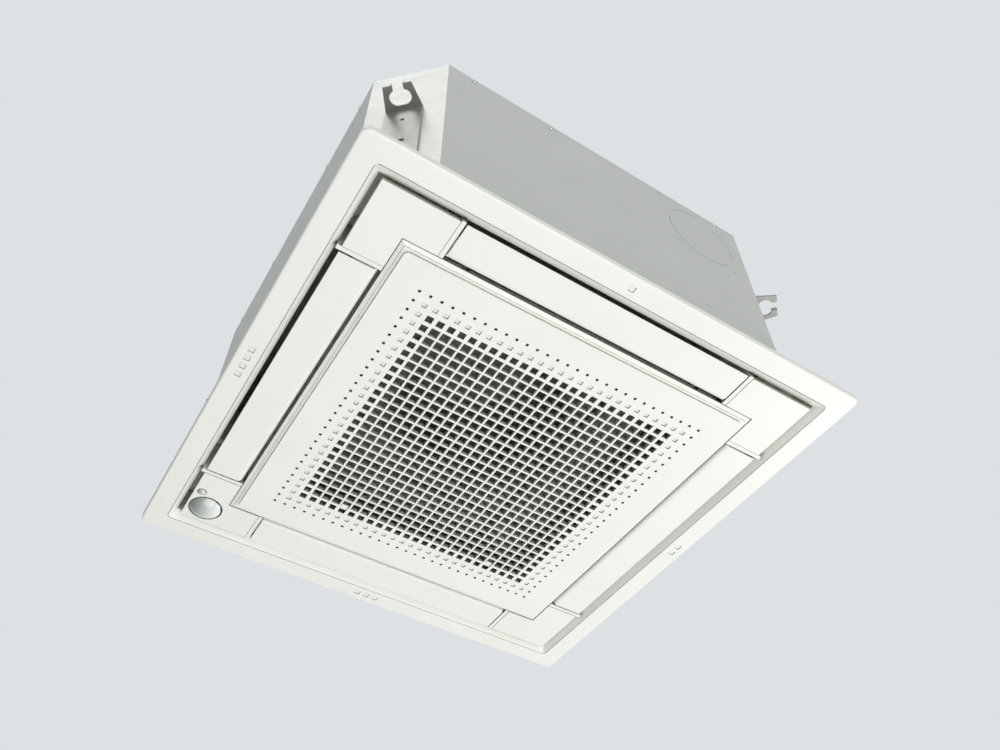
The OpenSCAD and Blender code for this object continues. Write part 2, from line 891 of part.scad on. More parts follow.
module flap(round_end) color(white) {
  translate([0, -hinge_y, hinge_z]) {
    difference() {
      union() {
        translate([-flap_half, 0, 0]) rotate([90, 0, 90]) linear_extrude(height = flap_span)
          flap_profile();
        for (s = [-1, 1]) {
          translate([s * (flap_half - flap_t / 2), 0, 0]) rotate([90, 0, 90])
            linear_extrude(height = flap_t, center = true) union() {
              circle(r = flap_pin_r + flap_t);
              polygon([[0, -flap_roll_r], [flap_roll_r - flap_t / 4, -flap_pin_r],
                [flap_pin_r + flap_t, 0], [-flap_pin_r - flap_t, 0],
                [-flap_w / 2, flap_t / 2 - flap_roll_r], [-flap_w / 2, -flap_roll_r]]);
            }
          translate([s * flap_half, 0, 0]) rotate([0, 90 * s, 0])
            cylinder(r = flap_pin_r, h = flap_end_gap + 2 * rib_t);
        }
        for (x = [-0.5, -0.25, 0, 0.25, 0.5]) {
          block(x * flap_span - thin / 2, -flap_w / 2, -flap_roll_r + flap_t / 2,
            x * flap_span + thin / 2, flap_roll_r - flap_t, -flap_roll_r + 2 * flap_t);
        }
      }
      translate([round_end * (flap_half - flap_corner_r), flap_roll_r - flap_corner_r,
        -flap_roll_r - thin]) difference() {
          block(min(0, 2 * round_end * flap_corner_r), 0, 0, max(0, 2 * round_end * flap_corner_r),
            2 * flap_corner_r, flap_roll_r - flap_pin_r);
          translate([0, 0, -thin]) cylinder(r = flap_corner_r, h = 3 * flap_roll_r);
        }
    }
  }
}

module flap_front() flap(1);
module flap_right() side(1) flap(1);
module flap_back() side(2) flap(-1);
module flap_left() side(3) flap(-1);

// Flap motor on the outer face of a rib, drawn at the right end of the front
module flap_motor() color(steel) {
  lift = flap_motor_r - flap_pin_r;
  translate([rib_out, -hinge_y, hinge_z]) rotate([90, 0, 90]) difference() {
    union() {
      translate([0, lift, 0]) cylinder(r = flap_motor_r, h = flap_motor_t);
      translate([-1.6 * flap_motor_r, lift - tab_w / 2, 0])
        cube([1.6 * flap_motor_r, tab_w, tab_t]);
      translate([-tab_w / 2, lift, 0]) cube([tab_w, 1.6 * flap_motor_r, tab_t]);
      cylinder(r = flap_pin_r + thin, h = 1.2 * rib_t);
    }
    translate([0, 0, -thin]) cylinder(r = flap_pin_r + pin_fit, h = rib_t + 2 * thin);
    translate([-1.3 * flap_motor_r, lift, -thin]) cylinder(r = thin, h = 3 * thin);
    translate([0, lift + 1.3 * flap_motor_r, -thin]) cylinder(r = thin, h = 3 * thin);
  }
}

module flap_motor_front() flap_motor();
module flap_motor_right() side(1) flap_motor();
module flap_motor_back() side(2) flap_motor();
module flap_motor_left() side(3) flap_motor();

// Suction grille: graduated hole rings in a bevelled plateau
module holes2(k0, k1, s) {
  for (i = [-k1:k1]) {
    for (j = [-k1:k1]) {
      if (max(abs(i), abs(j)) >= k0) {
        translate([i * hole_pitch - s / 2, j * hole_pitch - s / 2]) square([s, s]);
      }
    }
  }
}

module grille_shell() {
  difference() {
    union() {
      slope_block(gr_flat, gr_flat, gr_bevel, grille_half, grille_half, gr_edge);
      plate(grille_half, grille_half, gr_edge, gr_edge + grille_t);
      rplate(gr_flat, gr_flat, plateau_r, gr_face, gr_bevel);
      plate(rim_out, rim_out, gr_bevel, rim_top);
    }
    plate(gr_flat - grille_t, gr_flat - grille_t, gr_back, gr_edge + grille_t);
    plate(rim_in, rim_in, gr_edge, rim_top + thin);
    plate(pattern_half, pattern_half, gr_face - thin, gr_back + thin);
    for (s = [-1, 1]) {
      block(s * hinge_offset - ear_t, -rim_out - thin, gr_edge + grille_t,
        s * hinge_offset + ear_t, -rim_in + thin, rim_top + thin);
      block(s * latch_x - latch_w / 2 - fit, rim_in - thin, tongue_z - fit,
        s * latch_x + latch_w / 2 + fit, rim_out + thin, tongue_z + tongue_t + fit);
    }
  }
}

module lattice() {
  difference() {
    translate([0, 0, gr_face]) linear_extrude(height = bar_depth) difference() {
      sq2(lattice_half, lattice_half);
      holes2(0, 11, hole_big);
      holes2(12, 12, hole_mid);
    }
    for (s = [-1, 1]) {
      block(s * latch_x - latch_knob / 2 - fit, latch_y - 0.7 * hole_pitch, gr_face - thin,
        s * latch_x + latch_knob / 2 + fit, latch_y + 0.6 * hole_pitch, bar_top + thin);
    }
  }
}

module outer_rings() {
  difference() {
    translate([0, 0, gr_face]) linear_extrude(height = grille_t) difference() {
      sq2(pattern_half, pattern_half);
      sq2(lattice_half, lattice_half);
      holes2(14, 14, hole_dot);
    }
    translate([0, 0, gr_face - thin]) linear_extrude(height = dimple_depth + thin)
      holes2(13, 13, hole_dimple);
  }
}

module hinge_bosses() {
  for (s = [-1, 1]) {
    for (d = [-1, 1]) {
      x0 = s * hinge_offset + d * (ear_t / 2 + fit);
      block(min(x0, x0 + d * boss_t), gh_y - 2 * hinge_pin_r, gr_back, max(x0, x0 + d * boss_t),
        gh_y + 2 * hinge_pin_r, gh_z + 1.6 * hinge_pin_r);
    }
    translate([s * hinge_offset - ear_t / 2 - boss_t, gh_y, gh_z]) rotate([0, 90, 0])
      cylinder(r = hinge_pin_r, h = ear_t + 2 * boss_t);
  }
}

module filter_posts() {
  f = filter_w / 2 + fit;
  for (k = [0:3]) {
    side(k) {
      for (x = [-0.4, 0, 0.4]) {
        block(x * filter_w - hook_w / 2, -f - hook_t, gr_back, x * filter_w + hook_w / 2, -f,
          bar_top + filter_t + fit + hook_t);
        block(x * filter_w - hook_w / 2, -f - hook_t / 2, bar_top + filter_t + fit,
          x * filter_w + hook_w / 2, -f + hook_t, bar_top + filter_t + fit + hook_t);
      }
    }
  }
}

module grille() color(white) {
  union() {
    grille_shell();
    outer_rings();
    lattice();
    hinge_bosses();
    filter_posts();
  }
}

// Grille latch slides: knob in the hole pattern, tongue through the rim
module latch(s) color(white) {
  z0 = bar_top + slide_fit;
  z1 = z0 + latch_t;
  y1 = latch_end;
  translate([s * latch_x, 0, 0]) {
    block(-latch_knob / 2, latch_y - latch_knob / 2, gr_face + knob_sink, latch_knob / 2,
      latch_y + latch_knob / 2, z1);
    block(-latch_w / 2, latch_y - latch_knob / 2, z0, latch_w / 2, y1, z1);
    block(-latch_w / 2, y1 - latch_leg, z0, latch_w / 2, y1, tongue_z + tongue_t);
    block(-latch_w / 2, y1 - latch_leg, tongue_z, latch_w / 2, duct_wall_in + tongue_reach,
      tongue_z + tongue_t);
  }
}

module latch_left() latch(-1);
module latch_right() latch(1);

// Air filter: frame with cross ribs and a net
module filter2(e) {
  f = filter_w / 2 - e;
  difference() {
    sq2(f, f);
    for (s = [-1, 1]) {
      translate([s * latch_x - latch_w / 2 - clear - e, latch_y - latch_knob - thin - e])
        square([latch_w + 2 * clear + 2 * e, filter_w]);
    }
  }
}

module filter_frame() color(dark) {
  difference() {
    translate([0, 0, bar_top]) linear_extrude(height = filter_t) union() {
      difference() {
        filter2(0);
        filter2(filter_edge);
      }
      intersection() {
        filter2(0);
        union() {
          for (k = [-2:2]) {
            translate([k * filter_w / 6 - thin / 2, -filter_w / 2]) square([thin, filter_w]);
            translate([-filter_w / 2, k * filter_w / 6 - thin / 2]) square([filter_w, thin]);
          }
        }
      }
    }
    translate([0, 0, bar_top + filter_t / 2 - net_t / 2]) linear_extrude(height = net_t)
      filter2(net_edge);
  }
}

module filter_mesh() color(dark) {
  translate([0, 0, bar_top + filter_t / 2 - net_t / 2]) linear_extrude(height = net_t)
    filter2(net_edge);
}

// Corner frame: x points outward from the cut corner, y runs along it
module at_corner(a) {
  rotate([0, 0, a]) translate([corner_d, 0, 0]) children();
}

// Foam strips between panel and casing
module body_seal() color(dark) {
  difference() {
    oct(in_half - flange_inset - fit, top_z, body_z);
    oct(open_y, top_z - thin, body_z + thin);
    screw_holes(top_z - thin, body_z + thin);
  }
  difference() {
    plate(duct_in, duct_in, top_z, pan_z);
    plate(duct_wall_in, duct_wall_in, top_z - thin, pan_z + thin);
  }
}

// Fixing places of the casing, a head outside and a short shank through the sheet
edge_screw_share = [-0.325, -0.132, 0.165, 0.325];

module edge_screws(r, x0, x1) {
  for (k = [0:3]) {
    side(k) for (u = edge_screw_share) {
      translate([u * body_w, -body_half + x0, top_screw_z]) rotate([-90, 0, 0])
        cylinder(r = r, h = x1 - x0);
    }
  }
}

module hanger_screws(r, x0, x1) {
  for (k = [0:3]) {
    at_corner(45 + 90 * k) for (s = [-1, 1]) {
      translate([x0, s * hanger_w / 4, hanger_screw_z]) rotate([0, 90, 0])
        cylinder(r = r, h = x1 - x0);
    }
  }
}

module plate_screws(r, x0, x1) {
  at_corner(45) for (s = [-1, 1]) {
    for (v = [-1, 1]) {
      translate([x0, s * (plate_half - plate_edge), pipe_z + v * (plate_h / 2 - plate_edge)])
        rotate([0, 90, 0]) cylinder(r = r, h = x1 - x0);
    }
  }
}

module casing_screws() color(steel) {
  edge_screws(shank_r, 0, sheet_t);
  edge_screws(head_r, -head_t, 0);
  hanger_screws(shank_r, -sheet_t, hanger_off + hanger_t);
  hanger_screws(head_r, hanger_off + hanger_t, hanger_off + hanger_t + head_t);
  plate_screws(shank_r, -sheet_t, plate_t);
  plate_screws(head_r, plate_t, plate_t + head_t);
}

// Round branch duct knock-out: a punched line with three ties, and four pilot holes
module knock_out() {
  translate([knock_x, -body_half - thin, body_top - knock_drop]) rotate([-90, 0, 0]) {
    difference() {
      ring(knock_r + knock_slot, knock_r, 0, 2 * thin + sheet_t);
      for (a = [-30, 90, 210]) {
        rotate([0, 0, a]) block(knock_r - thin, -2 * thin, -thin, knock_r + 2 * thin, 2 * thin,
          4 * thin);
      }
    }
    for (sx = [-1, 1]) {
      for (sy = [-1, 1]) {
        translate([sx * knock_hole_off, sy * knock_hole_off, 0])
          cylinder(r = pilot_r, h = 2 * thin + sheet_t);
      }
    }
  }
}

module pipe_window(x0, x1) {
  at_corner(45) block(x0, -window_half, pipe_z - window_h / 2, x1, window_half,
    pipe_z + window_h / 2);
}

module drain_bore(r) {
  translate([body_half - 2 * liner_t, outlet_y, drain_z]) rotate([0, 90, 0])
    cylinder(r = r, h = 4 * liner_t);
}

module casing_wrap() color(steel) {
  difference() {
    oct(body_half, body_z, body_top - sheet_t);
    oct(in_half, body_z + sheet_t, body_top);
    oct(body_half - wrap_flange, body_z - thin, body_z + 2 * sheet_t);
    knock_out();
    pipe_window(-2 * liner_t, liner_t);
    drain_bore(drain_or + fit);
    edge_screws(shank_r, -thin, sheet_t + thin);
    hanger_screws(shank_r, -sheet_t - thin, thin);
    plate_screws(shank_r, -sheet_t - thin, thin);
  }
}

module top_plate() color(steel) {
  difference() {
    oct(body_half, body_top - sheet_t, body_top);
    for (k = [0:3]) {
      side(k) block(-bead_at + 2 * bead_w, -bead_at - bead_w, body_top - bead_depth,
        bead_at - 2 * bead_w, -bead_at, body_top + thin);
    }
  }
}

module side_liner() color(foam) {
  difference() {
    oct(in_half, pan_top, foam_z);
    oct(in_half - liner_t, pan_top - thin, foam_z + thin);
    pipe_window(-3 * liner_t, liner_t);
    drain_bore(drain_or + fit);
  }
}

module top_liner() color(foam) {
  difference() {
    oct(in_half, foam_z, body_top - sheet_t);
    for (k = [0:3]) {
      side(k) block(-leg_w / 2 - leg_gap, -leg_r - 2 * bracket_t, foam_z - thin,
        leg_w / 2 + leg_gap, -leg_r + bracket_t, body_top);
    }
  }
}

// Moulded foam drain pan: the tray with coil gutter and pump sump, four corner blocks and four
// duct walls, butted with a fine joint
module drain_pan() color(foam) {
  difference() {
    oct(pan_half, pan_z, pan_top);
    for (k = [0:3]) {
      side(k) block(-duct_half, -duct_mid_out, pan_z - thin, duct_half, -duct_mid_in,
        pan_top + thin);
    }
    rod(bell_hole, pan_z - thin, pan_top + thin);
    difference() {
      plate(gutter_out, gutter_out, pan_floor, pan_top + thin);
      rplate(gutter_in, gutter_in, gutter_in - bend_c, pan_floor - thin, pan_top + 2 * thin);
      for (k = [0:3]) {
        side(k) block(-coil_end / 2, -coil_out, pan_floor - thin, -coil_end / 3, -coil_in,
          coil_z);
        side(k) block(coil_end / 3, -coil_out, pan_floor - thin, coil_end / 2, -coil_in,
          coil_z);
      }
    }
    block(duct_half + well_wall, duct_half + well_wall, pan_floor,
      float_x + 1.5 * float_r, pump_y + 1.3 * pump_r, pan_top + thin);
    block(coil_end - fan_wall, coil_end - fan_wall, pan_floor, gutter_in + thin,
      gutter_in + thin, pan_top + thin);
    block(pump_x - pump_r - thin, pump_y - pump_r - thin, sump_z, pump_x + 0.7 * pump_r,
      pump_y + pump_r - thin, pan_top + thin);
    screw_holes(pan_z - thin, pan_z + screw_reach + 2 * washer_t);
    diagonal_joints(sqrt(2) * duct_mid_in, joint_gap, pan_z - thin, pan_top + thin);
    difference() {
      plate(duct_mid_in, duct_mid_in, pan_z - thin, pan_top + thin);
      plate(duct_mid_in - joint_gap, duct_mid_in - joint_gap, pan_z - 2 * thin,
        pan_top + 2 * thin);
    }
    for (k = [0:3]) {
      for (s = [-1, 1]) {
        side(k) block(s * (duct_half + joint_gap / 2) - joint_gap / 2, -pan_half - thin,
          pan_z - thin, s * (duct_half + joint_gap / 2) + joint_gap / 2, -duct_mid_out + thin,
          pan_top + thin);
      }
    }
  }
}

// Bell mouth with its square flange under the pan
module bell_mouth() color(white) {
  difference() {
    union() {
      difference() {
        plate(gutter_out, gutter_out, bell_z, pan_z);
        rod(bell_c + weld_gap, bell_z - thin, pan_z + thin);
      }
      rotate_extrude() union() {
        intersection() {
          difference() {
            translate([bell_c, bell_z + bell_r]) circle(r = bell_r);
            translate([bell_c, bell_z + bell_r]) circle(r = bell_r - fan_wall);
          }
          translate([throat_r - thin, bell_z - thin]) square([bell_r + thin, bell_r + thin]);
        }
        translate([throat_r, bell_z + bell_r])
          square([fan_wall, lip_top - bell_z - bell_r]);
      }
    }
    diagonal_joints(sqrt(2) * gutter_out + thin, joint_gap, bell_z - thin, lip_top + thin);
  }
}

// Turbo fan: flared shroud, curved blades, hub with a bowl round the motor
module blade2() {
  intersection() {
    difference() {
      circle(r = fan_r);
      circle(r = blade_in);
    }
    translate([blade_cx, blade_cy]) difference() {
      circle(r = blade_arc + thin);
      circle(r = blade_arc - thin);
    }
    polygon([[0, 0], [1.4 * fan_r, -0.2 * fan_r], [1.4 * fan_r, 0.9 * fan_r]]);
  }
}

module turbo_fan() color(dark) {
  union() {
    difference() {
      rotate_extrude() intersection() {
        translate([shroud_c, shroud_z]) difference() {
          circle(r = shroud_r);
          circle(r = shroud_r - fan_wall);
        }
        translate([shroud_in - thin, shroud_z]) square([shroud_r + thin, shroud_r + thin]);
      }
      diagonal_joints(2 * fan_r, weld_gap, shroud_z - thin, shroud_z + shroud_r + thin);
    }
    intersection() {
      for (k = [0:blade_n - 1]) {
        rotate([0, 0, 360 / blade_n * k]) translate([0, 0, shroud_z])
          linear_extrude(height = hub_z - weld_gap - shroud_z) blade2();
      }
      rotate_extrude() difference() {
        translate([blade_in - thin, shroud_z]) square([fan_r, hub_z - weld_gap - shroud_z]);
        translate([shroud_c, shroud_z]) circle(r = shroud_r + weld_gap);
      }
    }
    rotate_extrude() polygon([[shaft_r, bowl_z], [bowl_low_r, bowl_z], [bowl_r, hub_z],
      [shroud_c, hub_z], [shroud_c, hub_z + hub_t], [bowl_r - fan_wall, hub_z + hub_t],
      [bowl_low_r - fan_wall, bowl_z + hub_t], [3 * shaft_r, bowl_z + hub_t],
      [3 * shaft_r, bowl_z + 2 * hub_t], [shaft_r, bowl_z + 2 * hub_t]]);
  }
}

module motor_shaft() color(steel) {
  rod(shaft_r, bowl_z - nut_h - shaft_tip, motor_z + 0.8 * (lug_z - motor_z));
}

module fan_nut() color(steel) {
  difference() {
    translate([0, 0, bowl_z - nut_h]) cylinder(r = 1.8 * shaft_r, h = nut_h, $fn = 6);
    rod(shaft_r, bowl_z - nut_h - thin, bowl_z + thin);
  }
}

module fan_motor() color(steel) {
  difference() {
    union() {
      rod(motor_r, motor_z, lug_z + lug_t);
      rod(motor_r - motor_step, motor_z + clear, lug_z + 2 * lug_t);
      for (k = [0:3]) {
        rotate([0, 0, 45 + 90 * k]) {
          block(motor_r / 2, -rubber_r, lug_z, mount_d, rubber_r, lug_z + lug_t);
          translate([mount_d, 0, 0]) rod(rubber_r, lug_z, lug_z + lug_t);
        }
      }
    }
    for (k = [0:3]) {
      rotate([0, 0, 45 + 90 * k]) translate([mount_d, 0, 0])
        rod(stud_r + fit, lug_z - thin, lug_z + lug_t + thin);
    }
    rod(shaft_r + pin_fit, motor_z - thin, motor_z + 0.85 * (lug_z - motor_z));
  }
}

module motor_mounts() color(dark) {
  for (k = [0:3]) {
    rotate([0, 0, 45 + 90 * k]) translate([mount_d, 0, 0]) {
      rod(rubber_r, lug_z + lug_t, ring_z);
      rod(stud_r, lug_z - thin, ring_z + 4 * thin);
      rod(2 * stud_r, lug_z - thin, lug_z);
    }
  }
}

module motor_bracket() color(steel) {
  difference() {
    union() {
      ring(leg_r, ring_in, ring_z, ring_z + bracket_t);
      for (k = [0:3]) {
        rotate([0, 0, 90 * k]) {
          block(leg_r - 4 * bracket_t, -leg_w / 2, ring_z, leg_r + bracket_t, leg_w / 2,
            ring_z + bracket_t);
          block(leg_r, -leg_w / 2, ring_z, leg_r + bracket_t, leg_w / 2, body_top - sheet_t);
        }
      }
    }
    for (k = [0:3]) {
      rotate([0, 0, 45 + 90 * k]) translate([mount_d, 0, 0])
        rod(stud_r + fit, ring_z - thin, ring_z + bracket_t + thin);
    }
  }
}

// Heat exchanger: fins round three corners, open at the pump corner
module coil_ring2(w) {
  difference() {
    rsq(coil_mid + w / 2, coil_mid + w / 2, mid_r + w / 2);
    rsq(coil_mid - w / 2, coil_mid - w / 2, mid_r - w / 2);
    translate([coil_end, coil_end]) square([coil_out, coil_out]);
  }
}

module fins2() {
  fin_n = floor((bend_c + coil_end) / fin_pitch);
  coil_ring2(fin_t);
  for (k = [0:fin_n]) {
    translate([coil_end - k * fin_pitch - fin_t, coil_in]) square([fin_t, coil_t]);
    translate([coil_in, coil_end - k * fin_pitch - fin_t]) square([coil_t, fin_t]);
    translate([-coil_out, bend_c - k * fin_pitch - fin_t]) square([coil_t, fin_t]);
    translate([bend_c - k * fin_pitch - fin_t, -coil_out]) square([fin_t, coil_t]);
  }
  for (q = [1:3]) {
    rotate([0, 0, 90 * q]) for (a = [15:15:75]) {
      translate([bend_c, bend_c]) rotate([0, 0, a])
        translate([coil_round - coil_t, -fin_t / 2]) square([coil_t, fin_t]);
    }
  }
}

module coil_fins() color(steel) {
  difference() {
    translate([0, 0, coil_z]) linear_extrude(height = coil_h) fins2();
    for (k = [0:tube_rows - 1]) {
      translate([0, 0, row_z + k * tube_pitch - tube_r - slide_fit])
        linear_extrude(height = 2 * (tube_r + slide_fit))
          coil_ring2(2 * (tube_r + slide_fit));
    }
  }
}

module tube_row(x1, y1) {
  translate([-bend_c, coil_mid, 0]) rotate([0, 90, 0]) cylinder(r = tube_r, h = x1 + bend_c);
  translate([coil_mid, -bend_c, 0]) rotate([-90, 0, 0]) cylinder(r = tube_r, h = y1 + bend_c);
  translate([-coil_mid, -bend_c, 0]) rotate([-90, 0, 0]) cylinder(r = tube_r, h = 2 * bend_c);
  translate([-bend_c, -coil_mid, 0]) rotate([0, 90, 0]) cylinder(r = tube_r, h = 2 * bend_c);
  for (q = [1:3]) {
    rotate([0, 0, 90 * q]) translate([bend_c, bend_c, 0])
      rotate_extrude(angle = 90) translate([mid_r, 0]) circle(r = tube_r);
  }
}

module coil_tubes() color(copper) {
  difference() {
    union() {
      for (k = [0:tube_rows - 1]) {
        translate([0, 0, row_z + k * tube_pitch])
          tube_row(k % 3 == 0 ? head_x : tube_end, k % 3 == 2 ? head_x : tube_end);
      }
      for (k = [0:3:tube_rows - 1]) {
        translate([tube_end, coil_mid, row_z + (k + 1.5) * tube_pitch]) rotate([90, 0, 0])
          rotate([0, 0, -90]) rotate_extrude(angle = 180) translate([tube_pitch / 2, 0])
            circle(r = tube_r);
        translate([coil_mid, tube_end, row_z + (k + 0.5) * tube_pitch]) rotate([90, 0, 90])
          rotate([0, 0, -90]) rotate_extrude(angle = 180) translate([tube_pitch / 2, 0])
            circle(r = tube_r);
      }
    }
    translate([head_x, coil_mid, 0]) rod(gas_or, pan_z, body_top);
    translate([coil_mid, head_x, 0]) rod(liquid_or, pan_z, body_top);
  }
}

module end_holes() {
  for (k = [0:tube_rows - 1]) {
    translate([-thin, coil_mid, row_z + k * tube_pitch]) rotate([0, 90, 0])
      cylinder(r = tube_r + slide_fit, h = 2 * coil_out);
  }
}

module coil_end_plates() color(steel) {
  for (m = [0, 1]) {
    mirror([m, -m, 0]) difference() {
      block(coil_end, coil_in - clear, coil_z, coil_end + thin, coil_out + clear, foam_z);
      end_holes();
    }
  }
  difference() {
    rotate([0, 0, 45]) block((coil_end + coil_in) / sqrt(2) - thin, -coil_in + coil_end,
      coil_z, (coil_end + coil_in) / sqrt(2), coil_in - coil_end, foam_z);
    for (m = [0, 1]) {
      mirror([m, -m, 0]) block(coil_end - coil_t, coil_in - thin, pan_z, coil_end + thin, coil_out,
        body_top);
    }
  }
}

// Pipes: closed header and a run out through the corner plate
module pipe_line(ro, ri, s, z0, z1) {
  wall = ro - ri;
  at_corner(45) translate([head_l, s * pipe_side, 0]) difference() {
    union() {
      rod(ro, z0, z1);
      translate([0, 0, pipe_z]) rotate([0, 90, 0]) cylinder(r = ro, h = pipe_out - head_l);
    }
    rod(ri, z0 + wall, z1 - wall);
    translate([0, 0, pipe_z]) rotate([0, 90, 0]) cylinder(r = ri, h = pipe_out - head_l + thin);
  }
}

module gas_pipe() color(copper) {
  pipe_line(gas_or, gas_r, 1, row_z - 2 * gas_or, pipe_z + 2 * gas_or);
}

module liquid_pipe() color(copper) {
  pipe_line(liquid_or, liquid_r, -1, row_z + tube_pitch, foam_z - clear);
}

module flare_nut(ro, s) {
  at_corner(45) translate([pipe_out - 3 * ro, s * pipe_side, pipe_z]) rotate([0, 90, 0])
    difference() {
      union() {
        cylinder(r = 2 * ro, h = 2 * ro, $fn = 6);
        cylinder(r = 1.6 * ro, h = 3.6 * ro);
      }
      translate([0, 0, -thin]) cylinder(r = ro + slide_fit / 4, h = 4 * ro + 2 * thin);
    }
}

module gas_flare_nut() color([0.8, 0.65, 0.3]) flare_nut(gas_or, 1);
module liquid_flare_nut() color([0.8, 0.65, 0.3]) flare_nut(liquid_or, -1);

module pipe_plate() color(steel) {
  difference() {
    at_corner(45) block(0, -plate_half, pipe_z - plate_h / 2, plate_t, plate_half,
      pipe_z + plate_h / 2);
    plate_screws(shank_r, -thin, 2 * thin);
    at_corner(45) for (s = [-1, 1]) {
      translate([-thin, s * pipe_side, pipe_z]) rotate([0, 90, 0])
        cylinder(r = (s > 0 ? gas_or : liquid_or) + thin, h = 3 * thin);
    }
  }
}

// Drain pump, float switch, hose and socket
module drain_pump() color(white) {
  translate([pump_x, pump_y, 0]) difference() {
    union() {
      rod(pump_r, pump_z + pump_neck, pump_plate_z);
      rod(cup_r, cup_z, pump_z + pump_neck);
      translate([outlet_x - pump_x, outlet_y - pump_y, 0])
        rod(spout_r, pump_plate_z, pump_plate_z + spout_h);
    }
    rod(cup_r - cup_wall, cup_z - thin, pump_z + pump_neck / 2);
    rod(pump_shaft_r + pin_fit, cup_z, pump_z + pump_h / 2);
    translate([outlet_x - pump_x, outlet_y - pump_y, 0])
      rod(spout_r - spout_wall, pump_plate_z - 2 * spout_wall, pump_plate_z + 2 * spout_h);
  }
}

module pump_impeller() color(dark) {
  blade_z = cup_z + cup_wall;
  r = cup_r - cup_wall - impeller_gap;
  translate([pump_x, pump_y, 0]) union() {
    rod(pump_shaft_r, blade_z, pump_z + 0.4 * pump_h);
    rod(r, blade_z + 0.8 * impeller_h, blade_z + impeller_h);
    for (a = [0, 90]) {
      rotate([0, 0, a]) block(-r, -thin / 2, blade_z, r, thin / 2, blade_z + 0.9 * impeller_h);
    }
  }
}

module pump_bracket() color(steel) {
  difference() {
    union() {
      block(pump_x - pump_r, float_y - 2 * float_stem_r, pump_plate_z, bracket_x,
        pump_y + 0.4 * pump_r, pump_plate_z + bracket_t);
      block(bracket_x - bracket_t, float_y - 2 * float_stem_r, pump_plate_z, bracket_x,
        pump_y + 0.4 * pump_r, pump_plate_z + bracket_h);
    }
    translate([outlet_x, outlet_y, 0])
      rod(hose_r + 2 * slide_fit, pump_plate_z - thin, pump_plate_z + 2 * thin + bracket_t);
    translate([float_x, float_y, 0])
      rod(float_stem_r + fit, pump_plate_z - thin, pump_plate_z + 2 * thin + bracket_t);
  }
}

module float_stem() color(white) {
  translate([float_x, float_y, 0]) union() {
    rod(float_stem_r, float_low, pump_plate_z + 3 * bracket_t);
    rod(2 * float_stem_r, float_low + float_h + float_travel + 2 * clear, pump_plate_z);
    rod(2 * float_stem_r, pump_plate_z + bracket_t, pump_plate_z + 3 * bracket_t);
    rod(1.6 * float_stem_r, float_low - clear, float_low + clear);
  }
}

module float_ball() color(dark) {
  translate([float_x, float_y, float_low + clear + fit]) difference() {
    rod(float_r, 0, float_h);
    rod(float_stem_r + 2 * pin_fit, -thin, float_h + thin);
  }
}

module hose_line(r, e) {
  translate([outlet_x, outlet_y, 0])
    rod(r, pump_plate_z - e, drain_z - hose_bend);
  translate([outlet_x + hose_bend, outlet_y, drain_z - hose_bend]) rotate([90, 0, 0])
    rotate([0, 0, 90]) rotate_extrude(angle = 90) translate([hose_bend, 0]) circle(r = r);
  translate([outlet_x + hose_bend, outlet_y, drain_z]) rotate([0, 90, 0])
    cylinder(r = r, h = bracket_x - clear - outlet_x - hose_bend + e);
}

module drain_hose() color(foam) {
  difference() {
    hose_line(hose_r, 0);
    hose_line(spout_r + slide_fit / 4, thin);
  }
}

module drain_socket() color(white) {
  x0 = bracket_x - socket_spigot;
  translate([0, outlet_y, drain_z]) rotate([0, 90, 0]) difference() {
    union() {
      translate([0, 0, x0]) cylinder(r = spout_r, h = body_half - x0);
      translate([0, 0, bracket_x]) cylinder(r = drain_or, h = body_half + drain_out - bracket_x);
      translate([0, 0, body_half]) cylinder(r = drain_or + socket_flange, h = thin);
    }
    translate([0, 0, x0 - thin]) cylinder(r = spout_r - thin, h = body_half);
    translate([0, 0, bracket_x + socket_step]) cylinder(r = drain_r, h = body_half);
  }
}

// Control box in the intake, under the bell mouth flange
module control_box() color(steel) {
  difference() {
    block(box_x0, -box_y, box_z + box_sheet, -box_side, box_y, box_top);
    block(box_x0 + box_sheet, -box_y + box_sheet, box_z - thin, -box_side - box_sheet,
      box_y - box_sheet, box_top - box_sheet);
  }
}

module control_cover() color(steel) {
  union() {
    block(box_x0, -box_y, box_z, -box_side, box_y, box_z + box_sheet);
    for (s = [-1, 1]) {
      block(box_x0 + 2 * box_sheet, s * (box_y - 2 * box_sheet) - box_sheet / 2,
        box_z + box_sheet, -box_side - 2 * box_sheet, s * (box_y - 2 * box_sheet) + box_sheet / 2,
        box_z + 6 * box_sheet);
    }
  }
}

module control_board() color([0.15, 0.4, 0.2]) {
  x0 = box_x0 + board_inset;
  x1 = -box_side - board_inset;
  union() {
    block(x0, -0.8 * box_y, board_z, x1, 0.4 * box_y, board_z + thin);
    for (y = [-0.75, 0.35]) {
      for (x = [x0 + stand_r + clear, x1 - stand_r - clear]) {
        translate([x, y * box_y, 0]) rod(stand_r, board_z + thin, box_top - box_sheet);
      }
    }
    block(x0 + stand_r, -0.6 * box_y, board_z - relay_h, x0 + stand_r + relay_w, -0.4 * box_y,
      board_z);
    block(x0 + 3 * stand_r, -0.1 * box_y, board_z - chip_h, x0 + 3 * stand_r + relay_w,
      0.1 * box_y, board_z);
    for (k = [0:2]) {
      translate([x1 - 1.5 * cap_r, (k * 0.16 - 0.5) * box_y, 0])
        rod(cap_r, board_z - cap_h, board_z);
    }
  }
}

module terminal_block() color(dark) {
  x0 = box_x0 + block_inset;
  x1 = x0 + block_w;
  y0 = 0.5 * box_y;
  difference() {
    block(x0, y0, box_z + 4 * box_sheet, x1, 0.95 * box_y, box_top - box_sheet);
    for (k = [0:4]) {
      y = y0 + (k + 0.5) * 0.09 * box_y;
      block(x0 - thin, y - pocket_w / 2, box_z, x0 + pocket_in, y + pocket_w / 2,
        box_z + pocket_h);
      block(x1 - pocket_in, y - pocket_w / 2, box_z, x1 + thin, y + pocket_w / 2,
        box_z + pocket_h);
    }
  }
}

